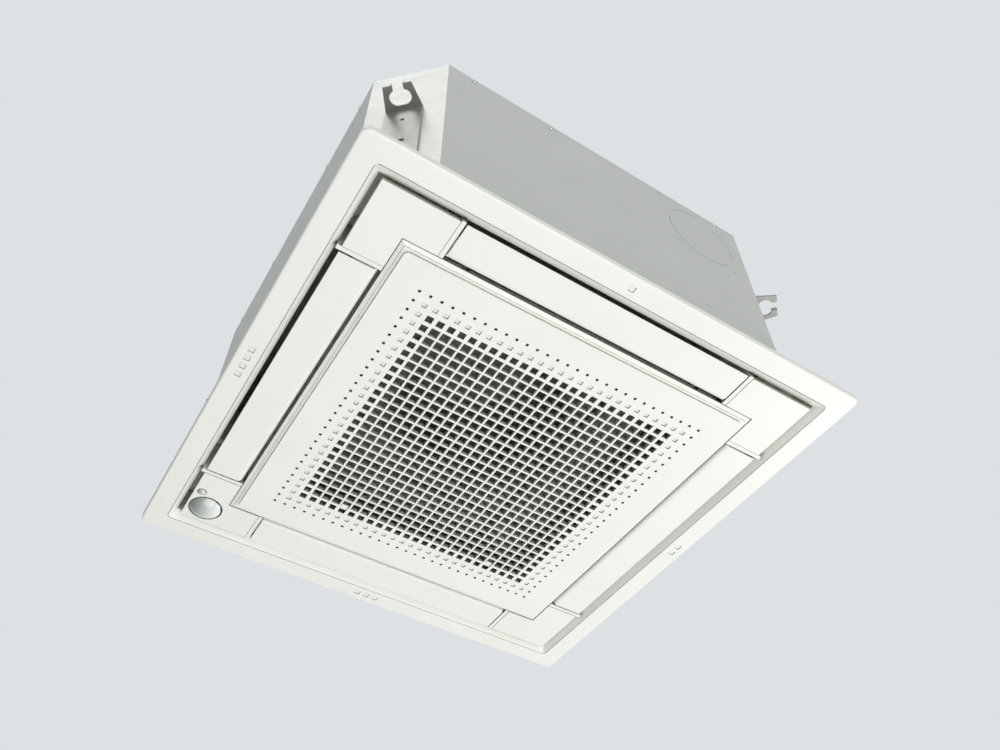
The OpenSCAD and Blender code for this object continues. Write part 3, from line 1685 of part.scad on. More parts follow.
// Hanger: pressed plate on the cut corner with a forked tab for the rod
module fork2() {
  w = hanger_w / 2;
  c = rod_d;
  difference() {
    polygon([[hanger_off, -w], [hanger_reach, -0.75 * w], [hanger_reach, 0.75 * w],
      [hanger_off, w]]);
    for (s = [-1, 1]) {
      translate([c, s * 0.15 * rod_pocket]) circle(r = 0.35 * rod_pocket);
    }
    translate([c - 0.35 * rod_pocket, -0.15 * rod_pocket])
      square([0.7 * rod_pocket, 0.3 * rod_pocket]);
    translate([c, -rod_r]) square([hanger_reach, 2 * rod_r]);
  }
}

module hanger() color(steel) {
  w = hanger_w / 2;
  difference() {
    union() {
      block(hanger_off, -w, hanger_low, hanger_off + hanger_t, w, hanger_z + hanger_t);
      for (s = [-1, 1]) {
        block(0, s * (w - hanger_t / 2) - hanger_t / 2, hanger_low, hanger_off,
          s * (w - hanger_t / 2) + hanger_t / 2, hanger_z + hanger_t);
        block(hanger_reach - 2 * lug_half, s * (rod_r + hanger_t / 2) - hanger_t / 2, hanger_z,
          hanger_reach, s * (rod_r + hanger_t / 2) + hanger_t / 2, hanger_z + lug_h);
      }
      translate([0, 0, hanger_z]) linear_extrude(height = hanger_t) fork2();
    }
    translate([-thin, 0, hanger_z - gauge_drop]) rotate([0, 90, 0])
      cylinder(r = gauge_r, h = 4 * thin);
    block(-thin, -slot_half, hanger_z - slot_drop, 3 * thin, slot_half,
      hanger_z - slot_drop + slot_h);
    for (s = [-1, 1]) {
      translate([-thin, s * hanger_w / 4, hanger_screw_z]) rotate([0, 90, 0])
        cylinder(r = shank_r, h = 4 * thin);
    }
  }
}

module hanger_fl() at_corner(225) hanger();
module hanger_fr() at_corner(-45) hanger();
module hanger_br() at_corner(45) hanger();
module hanger_bl() at_corner(135) hanger();

panel_frame();
suction_frame();
ceiling_gasket();
corner_cover_fl();
corner_cover_fr();
corner_cover_br();
corner_cover_bl();
sensor_dome();
sensor_lens();
flap_front();
flap_left();
flap_back();
flap_right();
flap_motor_front();
flap_motor_left();
flap_motor_back();
flap_motor_right();
grille();
latch_left();
latch_right();
filter_frame();
filter_mesh();
panel_screws();
body_seal();
casing_wrap();
top_plate();
side_liner();
top_liner();
drain_pan();
bell_mouth();
turbo_fan();
motor_shaft();
fan_nut();
fan_motor();
motor_mounts();
motor_bracket();
coil_fins();
coil_tubes();
coil_end_plates();
gas_pipe();
liquid_pipe();
gas_flare_nut();
liquid_flare_nut();
pipe_plate();
drain_pump();
pump_impeller();
pump_bracket();
float_stem();
float_ball();
drain_hose();
drain_socket();
control_box();
control_cover();
control_board();
terminal_block();
hanger_fl();
hanger_fr();
hanger_br();
hanger_bl();
casing_screws();
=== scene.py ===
import math

import bmesh
import bpy
from mathutils import Matrix, Vector


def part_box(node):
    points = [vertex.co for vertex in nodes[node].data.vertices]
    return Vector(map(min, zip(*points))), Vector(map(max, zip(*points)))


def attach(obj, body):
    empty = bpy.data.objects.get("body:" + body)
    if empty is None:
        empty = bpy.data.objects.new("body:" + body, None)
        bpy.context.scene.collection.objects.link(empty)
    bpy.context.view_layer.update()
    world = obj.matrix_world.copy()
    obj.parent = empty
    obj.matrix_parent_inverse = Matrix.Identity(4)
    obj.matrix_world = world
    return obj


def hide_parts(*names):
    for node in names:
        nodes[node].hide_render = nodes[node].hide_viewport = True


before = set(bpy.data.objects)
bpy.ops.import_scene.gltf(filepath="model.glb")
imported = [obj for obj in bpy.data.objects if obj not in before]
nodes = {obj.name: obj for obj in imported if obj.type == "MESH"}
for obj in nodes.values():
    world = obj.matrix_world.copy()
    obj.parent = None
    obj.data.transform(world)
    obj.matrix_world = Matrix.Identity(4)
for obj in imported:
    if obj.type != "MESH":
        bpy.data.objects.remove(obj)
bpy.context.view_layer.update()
scene = bpy.context.scene
MM = 0.001

# Sizes of the slow patches in the materials, in millimetres
MELT_CLOUD = 90
WIPE_MARK = 14
ROLL_CLOUD = 70
FOAM_CLOUD = 30
TARNISH = 18


# Colours and node trees

def linear(code):
    parts = [int(code[i:i + 2], 16) / 255 for i in (0, 2, 4)]
    return tuple(c / 12.92 if c <= 0.04045 else ((c + 0.055) / 1.055) ** 2.4 for c in parts) + (1.0,)


def grey(level):
    return (level, level, level, 1.0)


def put(tree, kind, settings=None, sockets=None):
    """Adds one node. A socket value that is another node's output is linked, any other is set."""
    made = tree.nodes.new(kind)
    for name, value in (settings or {}).items():
        setattr(made, name, value)
    for name, value in (sockets or {}).items():
        if isinstance(value, bpy.types.NodeSocket):
            tree.links.new(value, made.inputs[name])
        else:
            made.inputs[name].default_value = value
    return made


def blank(name):
    """A new material, its tree and its Object coordinates."""
    mat = bpy.data.materials.new(name)
    mat.use_nodes = True
    mat.node_tree.nodes.clear()
    tree = mat.node_tree
    place = put(tree, "ShaderNodeTexCoord")
    return mat, tree, place.outputs["Object"]


def finish_surface(tree, shader):
    put(tree, "ShaderNodeOutputMaterial", None, {"Surface": shader.outputs["BSDF"]})


def ramp(tree, source, low, high, start=0.35, end=0.65):
    made = put(tree, "ShaderNodeValToRGB", None, {"Fac": source})
    made.color_ramp.elements[0].position = start
    made.color_ramp.elements[0].color = low
    made.color_ramp.elements[1].position = end
    made.color_ramp.elements[1].color = high
    return made.outputs["Color"]


# Painted shade in joints, holes and corners: the colour is darkened where ambient occlusion finds surfaces
# close by
def painted_crevice_shade(tree, colour, code, reach_mm=9.0):
    near = put(tree, "ShaderNodeAmbientOcclusion", {"samples": 6}, {"Distance": reach_mm * MM})
    shade = ramp(tree, near.outputs["AO"], linear(code), grey(1.0), 0.3, 0.8)
    both = put(tree, "ShaderNodeMix", {"data_type": "RGBA", "blend_type": "MULTIPLY"},
               {0: 1.0, 6: colour, 7: shade})
    return both.outputs[2]


# Injection moulded plastic: an even body colour, a spark-eroded skin that breaks up the gloss,
# slow cloudiness from the melt, edges that the mould leaves slightly round, and painted shade in joints
# and holes where a shade colour is given
def moulded(name, dark, light, rough, grain_mm=0.5, bump_mm=0.02, edge_mm=0.5, painted_shade=None):
    mat, tree, at = blank(name)
    cloud = put(tree, "ShaderNodeTexNoise", None,
                {"Vector": at, "Scale": 1 / (MELT_CLOUD * MM), "Detail": 3.0})
    skin = put(tree, "ShaderNodeTexNoise", None,
               {"Vector": at, "Scale": 1 / (grain_mm * MM), "Detail": 2.0})
    wipe = put(tree, "ShaderNodeTexNoise", None,
               {"Vector": at, "Scale": 1 / (WIPE_MARK * MM), "Detail": 4.0, "Roughness": 0.6})
    colour = ramp(tree, cloud.outputs["Fac"], linear(dark), linear(light), 0.3, 0.7)
    # Painted shade, darkest in joints and holes
    if painted_shade:
        colour = painted_crevice_shade(tree, colour, painted_shade)
    gloss = ramp(tree, wipe.outputs["Fac"], grey(rough - 0.05), grey(rough + 0.06))
    edge = put(tree, "ShaderNodeBevel", {"samples": 6}, {"Radius": edge_mm * MM})
    bump = put(tree, "ShaderNodeBump", None, {
        "Strength": 0.35, "Distance": bump_mm * MM,
        "Height": skin.outputs["Fac"], "Normal": edge.outputs["Normal"]})
    shader = put(tree, "ShaderNodeBsdfPrincipled", None, {
        "Base Color": colour, "Roughness": gloss, "IOR": 1.52, "Normal": bump.outputs["Normal"]})
    finish_surface(tree, shader)
    return mat


# Zinc coated or painted sheet: faint spangle, rolling lines along the sheet, light scuffs
def sheet_steel(name, dark, light, rough, metal, spangle_mm=7.0, line_mm=0.8):
    mat, tree, at = blank(name)
    cells = put(tree, "ShaderNodeTexVoronoi", None,
                {"Vector": at, "Scale": 1 / (spangle_mm * MM)})
    tone = put(tree, "ShaderNodeSeparateColor", None, {"Color": cells.outputs["Color"]})
    drawn_out = put(tree, "ShaderNodeMapping", None, {"Vector": at, "Scale": (0.02, 0.02, 1.0)})
    lines = put(tree, "ShaderNodeTexNoise", None, {
        "Vector": drawn_out.outputs["Vector"], "Scale": 1 / (line_mm * MM), "Detail": 3.0})
    cloud = put(tree, "ShaderNodeTexNoise", None,
                {"Vector": at, "Scale": 1 / (ROLL_CLOUD * MM), "Detail": 4.0})
    mixed = put(tree, "ShaderNodeMix", {"data_type": "FLOAT"}, {
        "Factor": 0.2, "A": cloud.outputs["Fac"], "B": tone.outputs["Red"]})
    colour = ramp(tree, mixed.outputs["Result"], linear(dark), linear(light), 0.2, 0.8)
    scuff = ramp(tree, lines.outputs["Fac"], grey(rough - 0.07), grey(rough + 0.08))
    edge = put(tree, "ShaderNodeBevel", {"samples": 6}, {"Radius": 0.4 * MM})
    bump = put(tree, "ShaderNodeBump", None, {
        "Strength": 0.2, "Distance": 0.03 * MM,
        "Height": lines.outputs["Fac"], "Normal": edge.outputs["Normal"]})
    shader = put(tree, "ShaderNodeBsdfPrincipled", None, {
        "Base Color": colour, "Roughness": scuff, "Metallic": metal, "Normal": bump.outputs["Normal"]})
    finish_surface(tree, shader)
    return mat


# Foam: moulded beads or closed cells, matt, with small dimples
def foam(name, dark, light, bead_mm, depth_mm):
    mat, tree, at = blank(name)
    beads = put(tree, "ShaderNodeTexVoronoi", {"feature": "SMOOTH_F1"},
                {"Vector": at, "Scale": 1 / (bead_mm * MM)})
    cloud = put(tree, "ShaderNodeTexNoise", None,
                {"Vector": at, "Scale": 1 / (FOAM_CLOUD * MM), "Detail": 3.0})
    colour = ramp(tree, cloud.outputs["Fac"], linear(dark), linear(light))
    bump = put(tree, "ShaderNodeBump", None, {
        "Strength": 0.6, "Distance": depth_mm * MM, "Height": beads.outputs["Distance"]})
    shader = put(tree, "ShaderNodeBsdfPrincipled", None, {
        "Base Color": colour, "Roughness": 0.85, "Specular IOR Level": 0.25,
        "Normal": bump.outputs["Normal"]})
    finish_surface(tree, shader)
    return mat


# Drawn, rolled or turned metal: fine lines, tarnish in slow patches
def drawn_metal(name, dark, light, rough, line_mm=0.6):
    mat, tree, at = blank(name)
    patch = put(tree, "ShaderNodeTexNoise", None,
                {"Vector": at, "Scale": 1 / (TARNISH * MM), "Detail": 4.0})
    fine = put(tree, "ShaderNodeTexNoise", None,
               {"Vector": at, "Scale": 1 / (line_mm * MM), "Detail": 2.0})
    colour = ramp(tree, patch.outputs["Fac"], linear(dark), linear(light))
    gloss = ramp(tree, fine.outputs["Fac"], grey(rough - 0.06), grey(rough + 0.1))
    edge = put(tree, "ShaderNodeBevel", {"samples": 6}, {"Radius": 0.3 * MM})
    bump = put(tree, "ShaderNodeBump", None, {
        "Strength": 0.25, "Distance": 0.02 * MM,
        "Height": fine.outputs["Fac"], "Normal": edge.outputs["Normal"]})
    shader = put(tree, "ShaderNodeBsdfPrincipled", None, {
        "Base Color": colour, "Metallic": 1.0, "Roughness": gloss, "Normal": bump.outputs["Normal"]})
    finish_surface(tree, shader)
    return mat


# Pearl cover of a sensor: glossy, painted shade that fades from smoke to white across it, and a painted
# shadow ring at the edge where it sits in the corner cover, wider on the side away from the front left
def sensor_cover(name, dark, light, centre_mm, radius_mm, edge_mm, lean_mm):
    mat, tree, at = blank(name)
    flat = put(tree, "ShaderNodeMapping", {"vector_type": "POINT"}, {
        "Vector": at, "Location": (-centre_mm[0] * MM, -centre_mm[1] * MM, 0), "Scale": (1, 1, 0)})
    parts = put(tree, "ShaderNodeSeparateXYZ", None, {"Vector": flat.outputs["Vector"]})
    # Painted shade, dark to light across the cover
    across = put(tree, "ShaderNodeMapRange", None, {
        "Value": parts.outputs["X"], "From Min": -radius_mm * MM, "From Max": radius_mm * MM})
    painted_shade = ramp(tree, across.outputs["Result"], linear(dark), linear(light), 0.1, 0.85)
    # Painted shadow ring at the rim, its centre leaned so that it is wider on one side
    leaning = put(tree, "ShaderNodeVectorMath", {"operation": "ADD"},
                  {0: flat.outputs["Vector"], 1: (lean_mm * MM, 0, 0)})
    out = put(tree, "ShaderNodeVectorMath", {"operation": "LENGTH"}, {0: leaning.outputs["Vector"]})
    inner_mm = radius_mm - edge_mm
    painted_shadow_ring = put(tree, "ShaderNodeMapRange", None, {
        "Value": out.outputs["Value"], "From Min": inner_mm * MM, "From Max": (inner_mm + 0.3) * MM})
    # Mixes in the painted shadow colour of the ring
    colour = put(tree, "ShaderNodeMix", {"data_type": "RGBA"},
                 {0: painted_shadow_ring.outputs["Result"], 6: painted_shade, 7: linear("161A16")})
    shader = put(tree, "ShaderNodeBsdfPrincipled", None, {
        "Base Color": colour.outputs[2], "Roughness": 0.16, "IOR": 1.49,
        "Coat Weight": 0.5, "Coat Roughness": 0.05})
    finish_surface(tree, shader)
    return mat


# Satin ABS from an eroded mould: soft broad highlights, a little painted shade along the joints
panel_abs = moulded("panel_satin_moulded_ABS", "F2F2EA", "F5F5EE", 0.36, bump_mm=0.015, edge_mm=0.7,
                    painted_shade="53503E")
# The same ABS in the deep grille lattice, with darker painted shade in the holes
grille_abs = moulded("grille_satin_moulded_ABS", "F2F2EA", "F5F5EE", 0.38, bump_mm=0.015, edge_mm=0.4,
                     painted_shade="28230F")
# Clear acrylic: sharp highlight, painted shade from smoke to white across the dome and the lens, and a
# painted shadow ring at the rim
sensor_shell = sensor_cover("sensor_pearl_moulded_acrylic", "7E8A80", "F0F3F0", (-248, 245.4), 20.5,
                            edge_mm=1.6, lean_mm=0.6)
lens_shell = sensor_cover("lens_pearl_moulded_acrylic", "8E968E", "F2F4F2", (-262.2, 219.4), 5.4,
                          edge_mm=0.7, lean_mm=0.2)
# Hot dip zinc on thin sheet: dull silver grey with weak spangle, with a darker copy on the thick hangers
# as painted shade
zinc_sheet = sheet_steel("casing_hot_dip_zinc_steel", "C9CBC5", "D1D3CD", 0.45, 0.35)
zinc_hanger_painted_shade = sheet_steel("hanger_hot_dip_zinc_steel_painted_shade", "90928C", "9FA19B", 0.42, 0.5, 6.0, 0.6)
# Painted pressed steel of the motors: dark grey, half gloss
motor_can = sheet_steel("motor_painted_pressed_steel", "6E7273", "7D8182", 0.4, 0.35)
# Moulded polystyrene beads of 3 mm: matt white with a dimpled skin
bead_foam = foam("duct_moulded_expanded_polystyrene", "E8E9E6", "F2F2F0", 3.0, 0.25)
# Cut closed cell foam strip: black, matt, fine open cells along the cut
strip_foam = foam("strip_cut_closed_cell_foam", "1E2021", "2B2D2E", 0.9, 0.12)
# Black moulded polypropylene: dull, slightly waxy
black_moulded = moulded("filter_black_moulded_polypropylene", "121210", "1B1B18", 0.55, 0.6, 0.03, 0.3)
# Woven nylon thread: brown black, drawn 0.42 mm wide, coarser than the real thread so it shows
net = moulded("filter_woven_nylon_thread", "12100A", "1A170F", 0.72, 0.3, 0.01, 0.05)
# Glass filled polymer: pale grey, coarser skin than ABS
fan_plastic = moulded("fan_moulded_glass_filled_polymer", "C9CAC6", "D4D5D1", 0.5, 0.8, 0.04, 0.5)
# Natural polypropylene: milky, softer gloss
pump_plastic = moulded("pump_moulded_polypropylene", "DDDED8", "E8E9E4", 0.42, 0.7, 0.03, 0.4)
# Moulded rubber: black, no clear highlight
rubber = moulded("mount_moulded_rubber", "141414", "1E1E1E", 0.62, 0.9, 0.05, 0.6)
# Laminated board under solder resist: deep green, smooth
board = moulded("board_laminated_glass_fibre", "1F5A38", "28704A", 0.4, 0.4, 0.02, 0.2)
# Rolled aluminium fins: bright, thin streaks
fin_stock = drawn_metal("coil_rolled_aluminium_fin", "BFC4C6", "D3D7D8", 0.32, 0.5)
# Drawn copper: warm, with brown patches where it was handled
copper = drawn_metal("pipe_drawn_copper", "B4693F", "D08A5C", 0.3)
# Turned brass: yellow, the sharpest gloss here
brass = drawn_metal("nut_turned_brass", "B99445", "D6B566", 0.28)
# Zinc plated screws and shaft: cool bright grey
plated = drawn_metal("screw_zinc_plated_steel", "B9BDBE", "D0D3D3", 0.3, 0.4)

finish_of = {
    panel_abs: ["panel_frame", "suction_frame", "corner_cover_fl", "corner_cover_fr", "corner_cover_br",
                "corner_cover_bl", "flap_front", "flap_right", "flap_back", "flap_left"],
    grille_abs: ["grille", "latch_left", "latch_right"],
    sensor_shell: ["sensor_dome"],
    lens_shell: ["sensor_lens"],
    zinc_sheet: ["casing_wrap", "top_plate", "pipe_plate", "coil_end_plates", "motor_bracket",
                 "pump_bracket", "control_box", "control_cover"],
    zinc_hanger_painted_shade: ["hanger_fl", "hanger_fr", "hanger_br", "hanger_bl"],
    motor_can: ["fan_motor", "flap_motor_front", "flap_motor_right", "flap_motor_back", "flap_motor_left"],
    bead_foam: ["side_liner", "top_liner", "drain_pan"],
    strip_foam: ["ceiling_gasket", "body_seal"],
    black_moulded: ["filter_frame", "terminal_block", "pump_impeller", "float_ball"],
    net: ["filter_mesh"],
    fan_plastic: ["turbo_fan", "bell_mouth"],
    pump_plastic: ["drain_pump", "float_stem", "drain_socket"],
    rubber: ["motor_mounts", "drain_hose"],
    board: ["control_board"],
    fin_stock: ["coil_fins"],
    copper: ["coil_tubes", "gas_pipe", "liquid_pipe"],
    brass: ["gas_flare_nut", "liquid_flare_nut"],
    plated: ["panel_screws", "casing_screws", "motor_shaft", "fan_nut"],
}
for finish, names in finish_of.items():
    for name in names:
        for place in nodes[name].material_slots:
            place.material = finish


# Modelling by hand

def only(obj):
    bpy.ops.object.select_all(action="DESELECT")
    obj.select_set(True)
    bpy.context.view_layer.objects.active = obj


def pick_faces(obj, test):
    """In edit mode, selects the faces whose centre and normal pass the test."""
    bpy.ops.mesh.select_all(action="DESELECT")
    mesh = bmesh.from_edit_mesh(obj.data)
    for face in mesh.faces:
        face.select_set(test(face.calc_center_median(), face.normal))
    bmesh.update_edit_mesh(obj.data)


def apply_modifier(obj, kind, **settings):
    made = obj.modifiers.new(kind.lower(), kind)
    for name, value in settings.items():
        setattr(made, name, value)
    only(obj)
    bpy.ops.object.modifier_apply(modifier=made.name)


def fuse(parts, name):
    bpy.ops.object.select_all(action="DESELECT")
    for part in parts:
        part.select_set(True)
    bpy.context.view_layer.objects.active = parts[0]
    bpy.ops.object.join()
    parts[0].name = name
    return parts[0]


def outward(obj):
    only(obj)
    bpy.ops.object.mode_set(mode="EDIT")
    bpy.ops.mesh.select_all(action="SELECT")
    bpy.ops.mesh.remove_doubles(threshold=0.005 * MM)
    bpy.ops.mesh.normals_make_consistent(inside=False)
    bpy.ops.object.mode_set(mode="OBJECT")


def islands(obj):
    """Point lists of the separate pieces in a CAD node, from a merged copy of its mesh."""
    mesh = bmesh.new()
    mesh.from_mesh(obj.data)
    bmesh.ops.remove_doubles(mesh, verts=mesh.verts, dist=0.001 * MM)
    seen = set()
    groups = []
    for first in mesh.verts:
        if first in seen:
            continue
        seen.add(first)
        queue = [first]
        group = []
        while queue:
            vert = queue.pop()
            group.append(vert.co.copy())
            for edge in vert.link_edges:
                other = edge.other_vert(vert)
                if other not in seen:
                    seen.add(other)
                    queue.append(other)
        groups.append(group)
    mesh.free()
    return groups


# Screws of the casing, the hangers and the pipe plate. The casing's walls and its cut corners
# lie at the two named distances from the middle, and each screw is turned on from the last.

HEAD_R = 3.5 * MM
HEAD_H = 1.6 * MM
HEAD_ROUND = 1.0 * MM
SHANK_R = 1.7 * MM
SHANK_H = 2.4 * MM
RECESS_SPAN = 3.8 * MM
RECESS_SLOT = 0.8 * MM
RECESS_FLOOR = 0.6 * MM
RECESS_CUT_H = 1.6 * MM
RECESS_TAPER = 0.45
CASING_FACE = 287.5 * MM
CORNER_FACE = 359.9 * MM
SCREW_TURN = 0.7


def pan_head_screw():
    """Pan head sheet screw with a cross recess, its seat on z = 0."""
    bpy.ops.object.select_all(action="DESELECT")
    bpy.ops.mesh.primitive_cylinder_add(vertices=32, radius=HEAD_R, depth=HEAD_H,
                                        location=(0, 0, HEAD_H / 2))
    head = bpy.context.object
    bpy.ops.object.transform_apply(location=True)
    bpy.ops.object.mode_set(mode="EDIT")
    pick_faces(head, lambda at, normal: normal.z > 0.9)
    bpy.ops.mesh.bevel(offset=HEAD_ROUND, offset_type="OFFSET", segments=4, affect="EDGES")
    pick_faces(head, lambda at, normal: normal.z < -0.9)
    bpy.ops.mesh.inset(thickness=HEAD_R - SHANK_R)
    bpy.ops.mesh.extrude_region_move(TRANSFORM_OT_translate={"value": (0, 0, -SHANK_H)})
    bpy.ops.object.mode_set(mode="OBJECT")
    arms = []
    for turn in (0, math.pi / 2):
        bpy.ops.object.select_all(action="DESELECT")
        bpy.ops.mesh.primitive_cube_add(size=1, location=(0, 0, RECESS_FLOOR + RECESS_CUT_H / 2))
        arm = bpy.context.object
        arm.scale = (RECESS_SPAN, RECESS_SLOT, RECESS_CUT_H)
        arm.rotation_euler = (0, 0, turn)
        bpy.ops.object.transform_apply(location=True, rotation=True, scale=True)
        bpy.ops.object.mode_set(mode="EDIT")
        pick_faces(arm, lambda at, normal: normal.z < -0.9)
        bpy.ops.transform.resize(value=(RECESS_TAPER, RECESS_TAPER, 1),
                                 center_override=(0, 0, RECESS_FLOOR))
        bpy.ops.object.mode_set(mode="OBJECT")
        arms.append(arm)
    for arm in arms:
        apply_modifier(head, "BOOLEAN", operation="DIFFERENCE", object=arm, solver="EXACT")
        bpy.data.objects.remove(arm)
    return head


def casing_screw_heads():
    """One screw on each CAD screw, square to the wall or cut corner that it holds."""
    pattern = pan_head_screw()
    walls = []
    for k in range(8):
        normal = Vector((math.cos(k * math.pi / 4), math.sin(k * math.pi / 4), 0))
        walls.append((normal, CASING_FACE if k % 2 == 0 else CORNER_FACE))
    made = []
    for group in islands(nodes["casing_screws"]):
        middle = sum(group, Vector()) / len(group)
        normal = min(walls, key=lambda wall: abs(middle.dot(wall[0]) - wall[1]))[0]
        tip = max(point.dot(normal) for point in group)
        seat = middle - normal * middle.dot(normal) + normal * (tip - HEAD_H)
        copy = pattern.copy()
        copy.data = pattern.data.copy()
        scene.collection.objects.link(copy)
        spin = Matrix.Rotation(SCREW_TURN * len(made), 4, "Z")
        upright = normal.to_track_quat("Z", "Y").to_matrix().to_4x4()
        copy.matrix_world = Matrix.Translation(seat) @ upright @ spin
        made.append(copy)
    bpy.data.objects.remove(pattern)
    bpy.context.view_layer.update()
    joined = fuse(made, "casing_screw_heads")
    bpy.ops.object.transform_apply(location=True, rotation=True, scale=True)
    bpy.ops.object.shade_smooth_by_angle(angle=math.radians(35))
    return joined


# Filter net: warp and weft on one grid, cut round the two latches

NET_PITCH = 1.2 * MM
THREAD_W = 0.42 * MM
THREAD_T = 0.2 * MM
LATCH_X = 104 * MM
LATCH_POCKET = 10 * MM
LATCH_FOOT_Y = 136.6 * MM


def threads(x0, x1, y0, y1, z, along_x):
    """Threads of one direction over a rectangle."""
    low, high = (y0, y1) if along_x else (x0, x1)
    count = int(math.floor((high - low) / NET_PITCH + 0.001))
    length = (x1 - x0) if along_x else (y1 - y0)
    bpy.ops.object.select_all(action="DESELECT")
    bpy.ops.mesh.primitive_cylinder_add(vertices=6, radius=0.5, depth=1)
    strand = bpy.context.object
    bpy.ops.object.mode_set(mode="EDIT")
    bpy.ops.mesh.select_all(action="SELECT")
    bpy.ops.transform.rotate(value=math.pi / 2, orient_axis="Y", center_override=(0, 0, 0))
    if not along_x:
        bpy.ops.transform.rotate(value=math.pi / 2, orient_axis="Z", center_override=(0, 0, 0))
    size = (length, THREAD_W, THREAD_T) if along_x else (THREAD_W, length, THREAD_T)
    bpy.ops.transform.resize(value=size, center_override=(0, 0, 0))
    half = NET_PITCH / 2
    first = (x0 + length / 2, y0 + half, z) if along_x else (x0 + half, y0 + length / 2, z)
    bpy.ops.transform.translate(value=first)
    bpy.ops.object.mode_set(mode="OBJECT")
    step = (0, NET_PITCH, 0) if along_x else (NET_PITCH, 0, 0)
    apply_modifier(strand, "ARRAY", use_relative_offset=False, use_constant_offset=True,
                   constant_offset_displace=step, count=count)
    return strand


def woven_threads():
    low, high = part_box("filter_mesh")
    edge = high[0]
    near, far = [edge - round((edge - n) / NET_PITCH) * NET_PITCH
                 for n in (LATCH_X - LATCH_POCKET, LATCH_X + LATCH_POCKET)]
    foot = -edge + math.floor((LATCH_FOOT_Y + edge) / NET_PITCH) * NET_PITCH
    warp_z = low[2] + THREAD_T / 2
    weft_z = high[2] - THREAD_T / 2
    made = [threads(-edge, edge, -edge, foot, weft_z, True)]
    for x0, x1, top in ((-edge, -far, edge), (-far, -near, foot), (-near, near, edge),
                        (near, far, foot), (far, edge, edge)):
        made.append(threads(x0, x1, -edge, top, warp_z, False))
        if top == edge:
            made.append(threads(x0, x1, foot, edge, weft_z, True))
    return fuse(made, "filter_net_threads")


def dress(piece, finish, body, node):
    """Gives a finished piece its material and its place in the frame."""
    piece.data.materials.clear()
    piece.data.materials.append(finish)
    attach(piece, body)
    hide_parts(node)


heads = casing_screw_heads()
dress(heads, plated, "unit", "casing_screws")

net_threads = woven_threads()
outward(net_threads)
dress(net_threads, net, "grille_door", "filter_mesh")


# Floor, room and lamps

FLOOR_Z = -2.5
FLOOR_SIZE = 14
FLOOR_COLOUR = "DDE0E2"
FLOOR_LIFT = 0.55
ROOM_FILL = 0.25
ROOM_SEEN = 1.0


def seen_directly(tree):
    """1 for rays of the camera, of gloss and of glass, else 0."""
    path = put(tree, "ShaderNodeLightPath")
    seen = put(tree, "ShaderNodeMath", {"operation": "MAXIMUM"},
               {0: path.outputs["Is Camera Ray"], 1: path.outputs["Is Glossy Ray"]})
    seen = put(tree, "ShaderNodeMath", {"operation": "MAXIMUM"},
               {0: seen.outputs["Value"], 1: path.outputs["Is Transmission Ray"]})
    return seen.outputs["Value"]


def floor_paint():
    """Pale matt paint, lifted where it is seen, so that it sends no more light to the object."""
    mat, tree, _ = blank("floor_pale_paint")
    paint = put(tree, "ShaderNodeBsdfPrincipled", None,
                {"Base Color": linear(FLOOR_COLOUR), "Roughness": 0.8})
    lift = put(tree, "ShaderNodeMath", {"operation": "MULTIPLY"},
               {0: seen_directly(tree), 1: FLOOR_LIFT})
    glow = put(tree, "ShaderNodeEmission", None,
               {"Color": linear(FLOOR_COLOUR), "Strength": lift.outputs["Value"]})
    both = put(tree, "ShaderNodeAddShader", None,
               {0: paint.outputs["BSDF"], 1: glow.outputs["Emission"]})
    put(tree, "ShaderNodeOutputMaterial", None, {"Surface": both.outputs["Shader"]})
    return mat


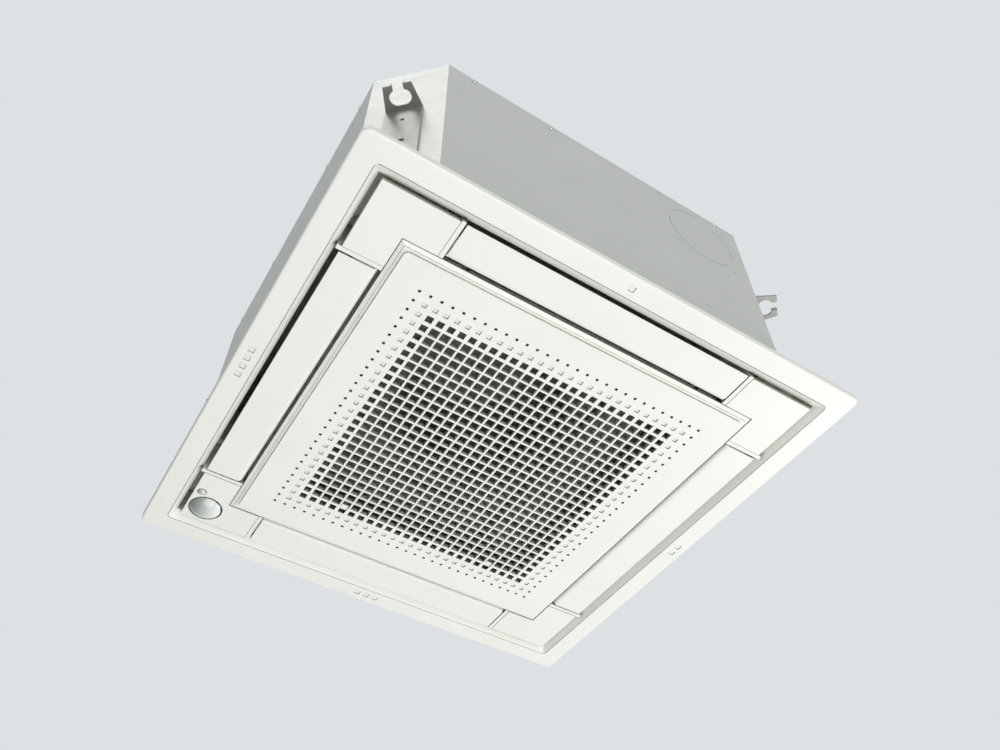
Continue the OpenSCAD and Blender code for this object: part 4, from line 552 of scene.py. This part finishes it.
def room():
    """Soft even light on the object; a plain pale grey where the camera, gloss or glass sees it."""
    world = bpy.data.worlds.new("room")
    world.use_nodes = True
    tree = world.node_tree
    tree.nodes.clear()
    light = put(tree, "ShaderNodeBackground", None,
                {"Color": linear("E8EAE8"), "Strength": ROOM_FILL})
    shown = put(tree, "ShaderNodeBackground", None,
                {"Color": linear("DDE1E4"), "Strength": ROOM_SEEN})
    mix = put(tree, "ShaderNodeMixShader", None, {
        0: seen_directly(tree), 1: light.outputs["Background"], 2: shown.outputs["Background"]})
    put(tree, "ShaderNodeOutputWorld", None, {"Surface": mix.outputs["Shader"]})
    return world


def area_lamp(name, at, aim, width, power):
    data = bpy.data.lights.new(name, "AREA")
    data.shape = "SQUARE"
    data.size = width
    data.energy = power
    lamp = bpy.data.objects.new(name, data)
    scene.collection.objects.link(lamp)
    lamp.location = at
    lamp.rotation_euler = (Vector(aim) - Vector(at)).to_track_quat("-Z", "Y").to_euler()
    lamp.visible_camera = False


bpy.ops.object.select_all(action="DESELECT")
bpy.ops.mesh.primitive_plane_add(size=FLOOR_SIZE, location=(0, 0, FLOOR_Z))
floor = bpy.context.object
floor.name = "floor"
floor.data.materials.append(floor_paint())
scene.world = room()

# Name, place, aim, side and watts. Most light comes from below, where the unit is seen from,
# and the back lamp is aimed at the faces that the photograph hides.
area_lamp("key_lamp", (1.9, 0.3, -1.3), (0, 0, 0), 1.0, 16)
area_lamp("soft_lamp", (0.1, -0.3, -2.2), (0, 0, 0), 1.8, 30)
area_lamp("side_lamp", (0.1, -2.4, -0.1), (0, 0, 0.15), 1.0, 20.5)
area_lamp("top_lamp", (-1.2, -0.7, 2.3), (-0.25, -0.25, 0.2), 1.2, 12)
area_lamp("back_lamp", (1.3, 2.3, 1.5), (0, 0, 0.15), 1.2, 42)

# Camera of the photograph, solved from the edges of the unit and kept as its axes and place
camera_data = bpy.data.cameras.new("camera")
camera = bpy.data.objects.new("camera", camera_data)
scene.collection.objects.link(camera)
camera_data.sensor_width = 36.0
camera_data.lens = 33.5006
camera_data.shift_x = 0.005639
camera_data.shift_y = 0.009029
right = Vector((0.8480025263, -0.5299903758, -0.0013845019))
down = Vector((0.4033982442, 0.6471407391, -0.6468993124))
ahead = Vector((0.3437463773, 0.5480137456, 0.7625741687))
eye = Vector((-0.4027419, -0.6755600, -0.7870581))
camera.matrix_world = Matrix.Translation(eye) @ Matrix((right, -down, -ahead)).transposed().to_4x4()
scene.camera = camera
scene.view_settings.view_transform = "Standard"
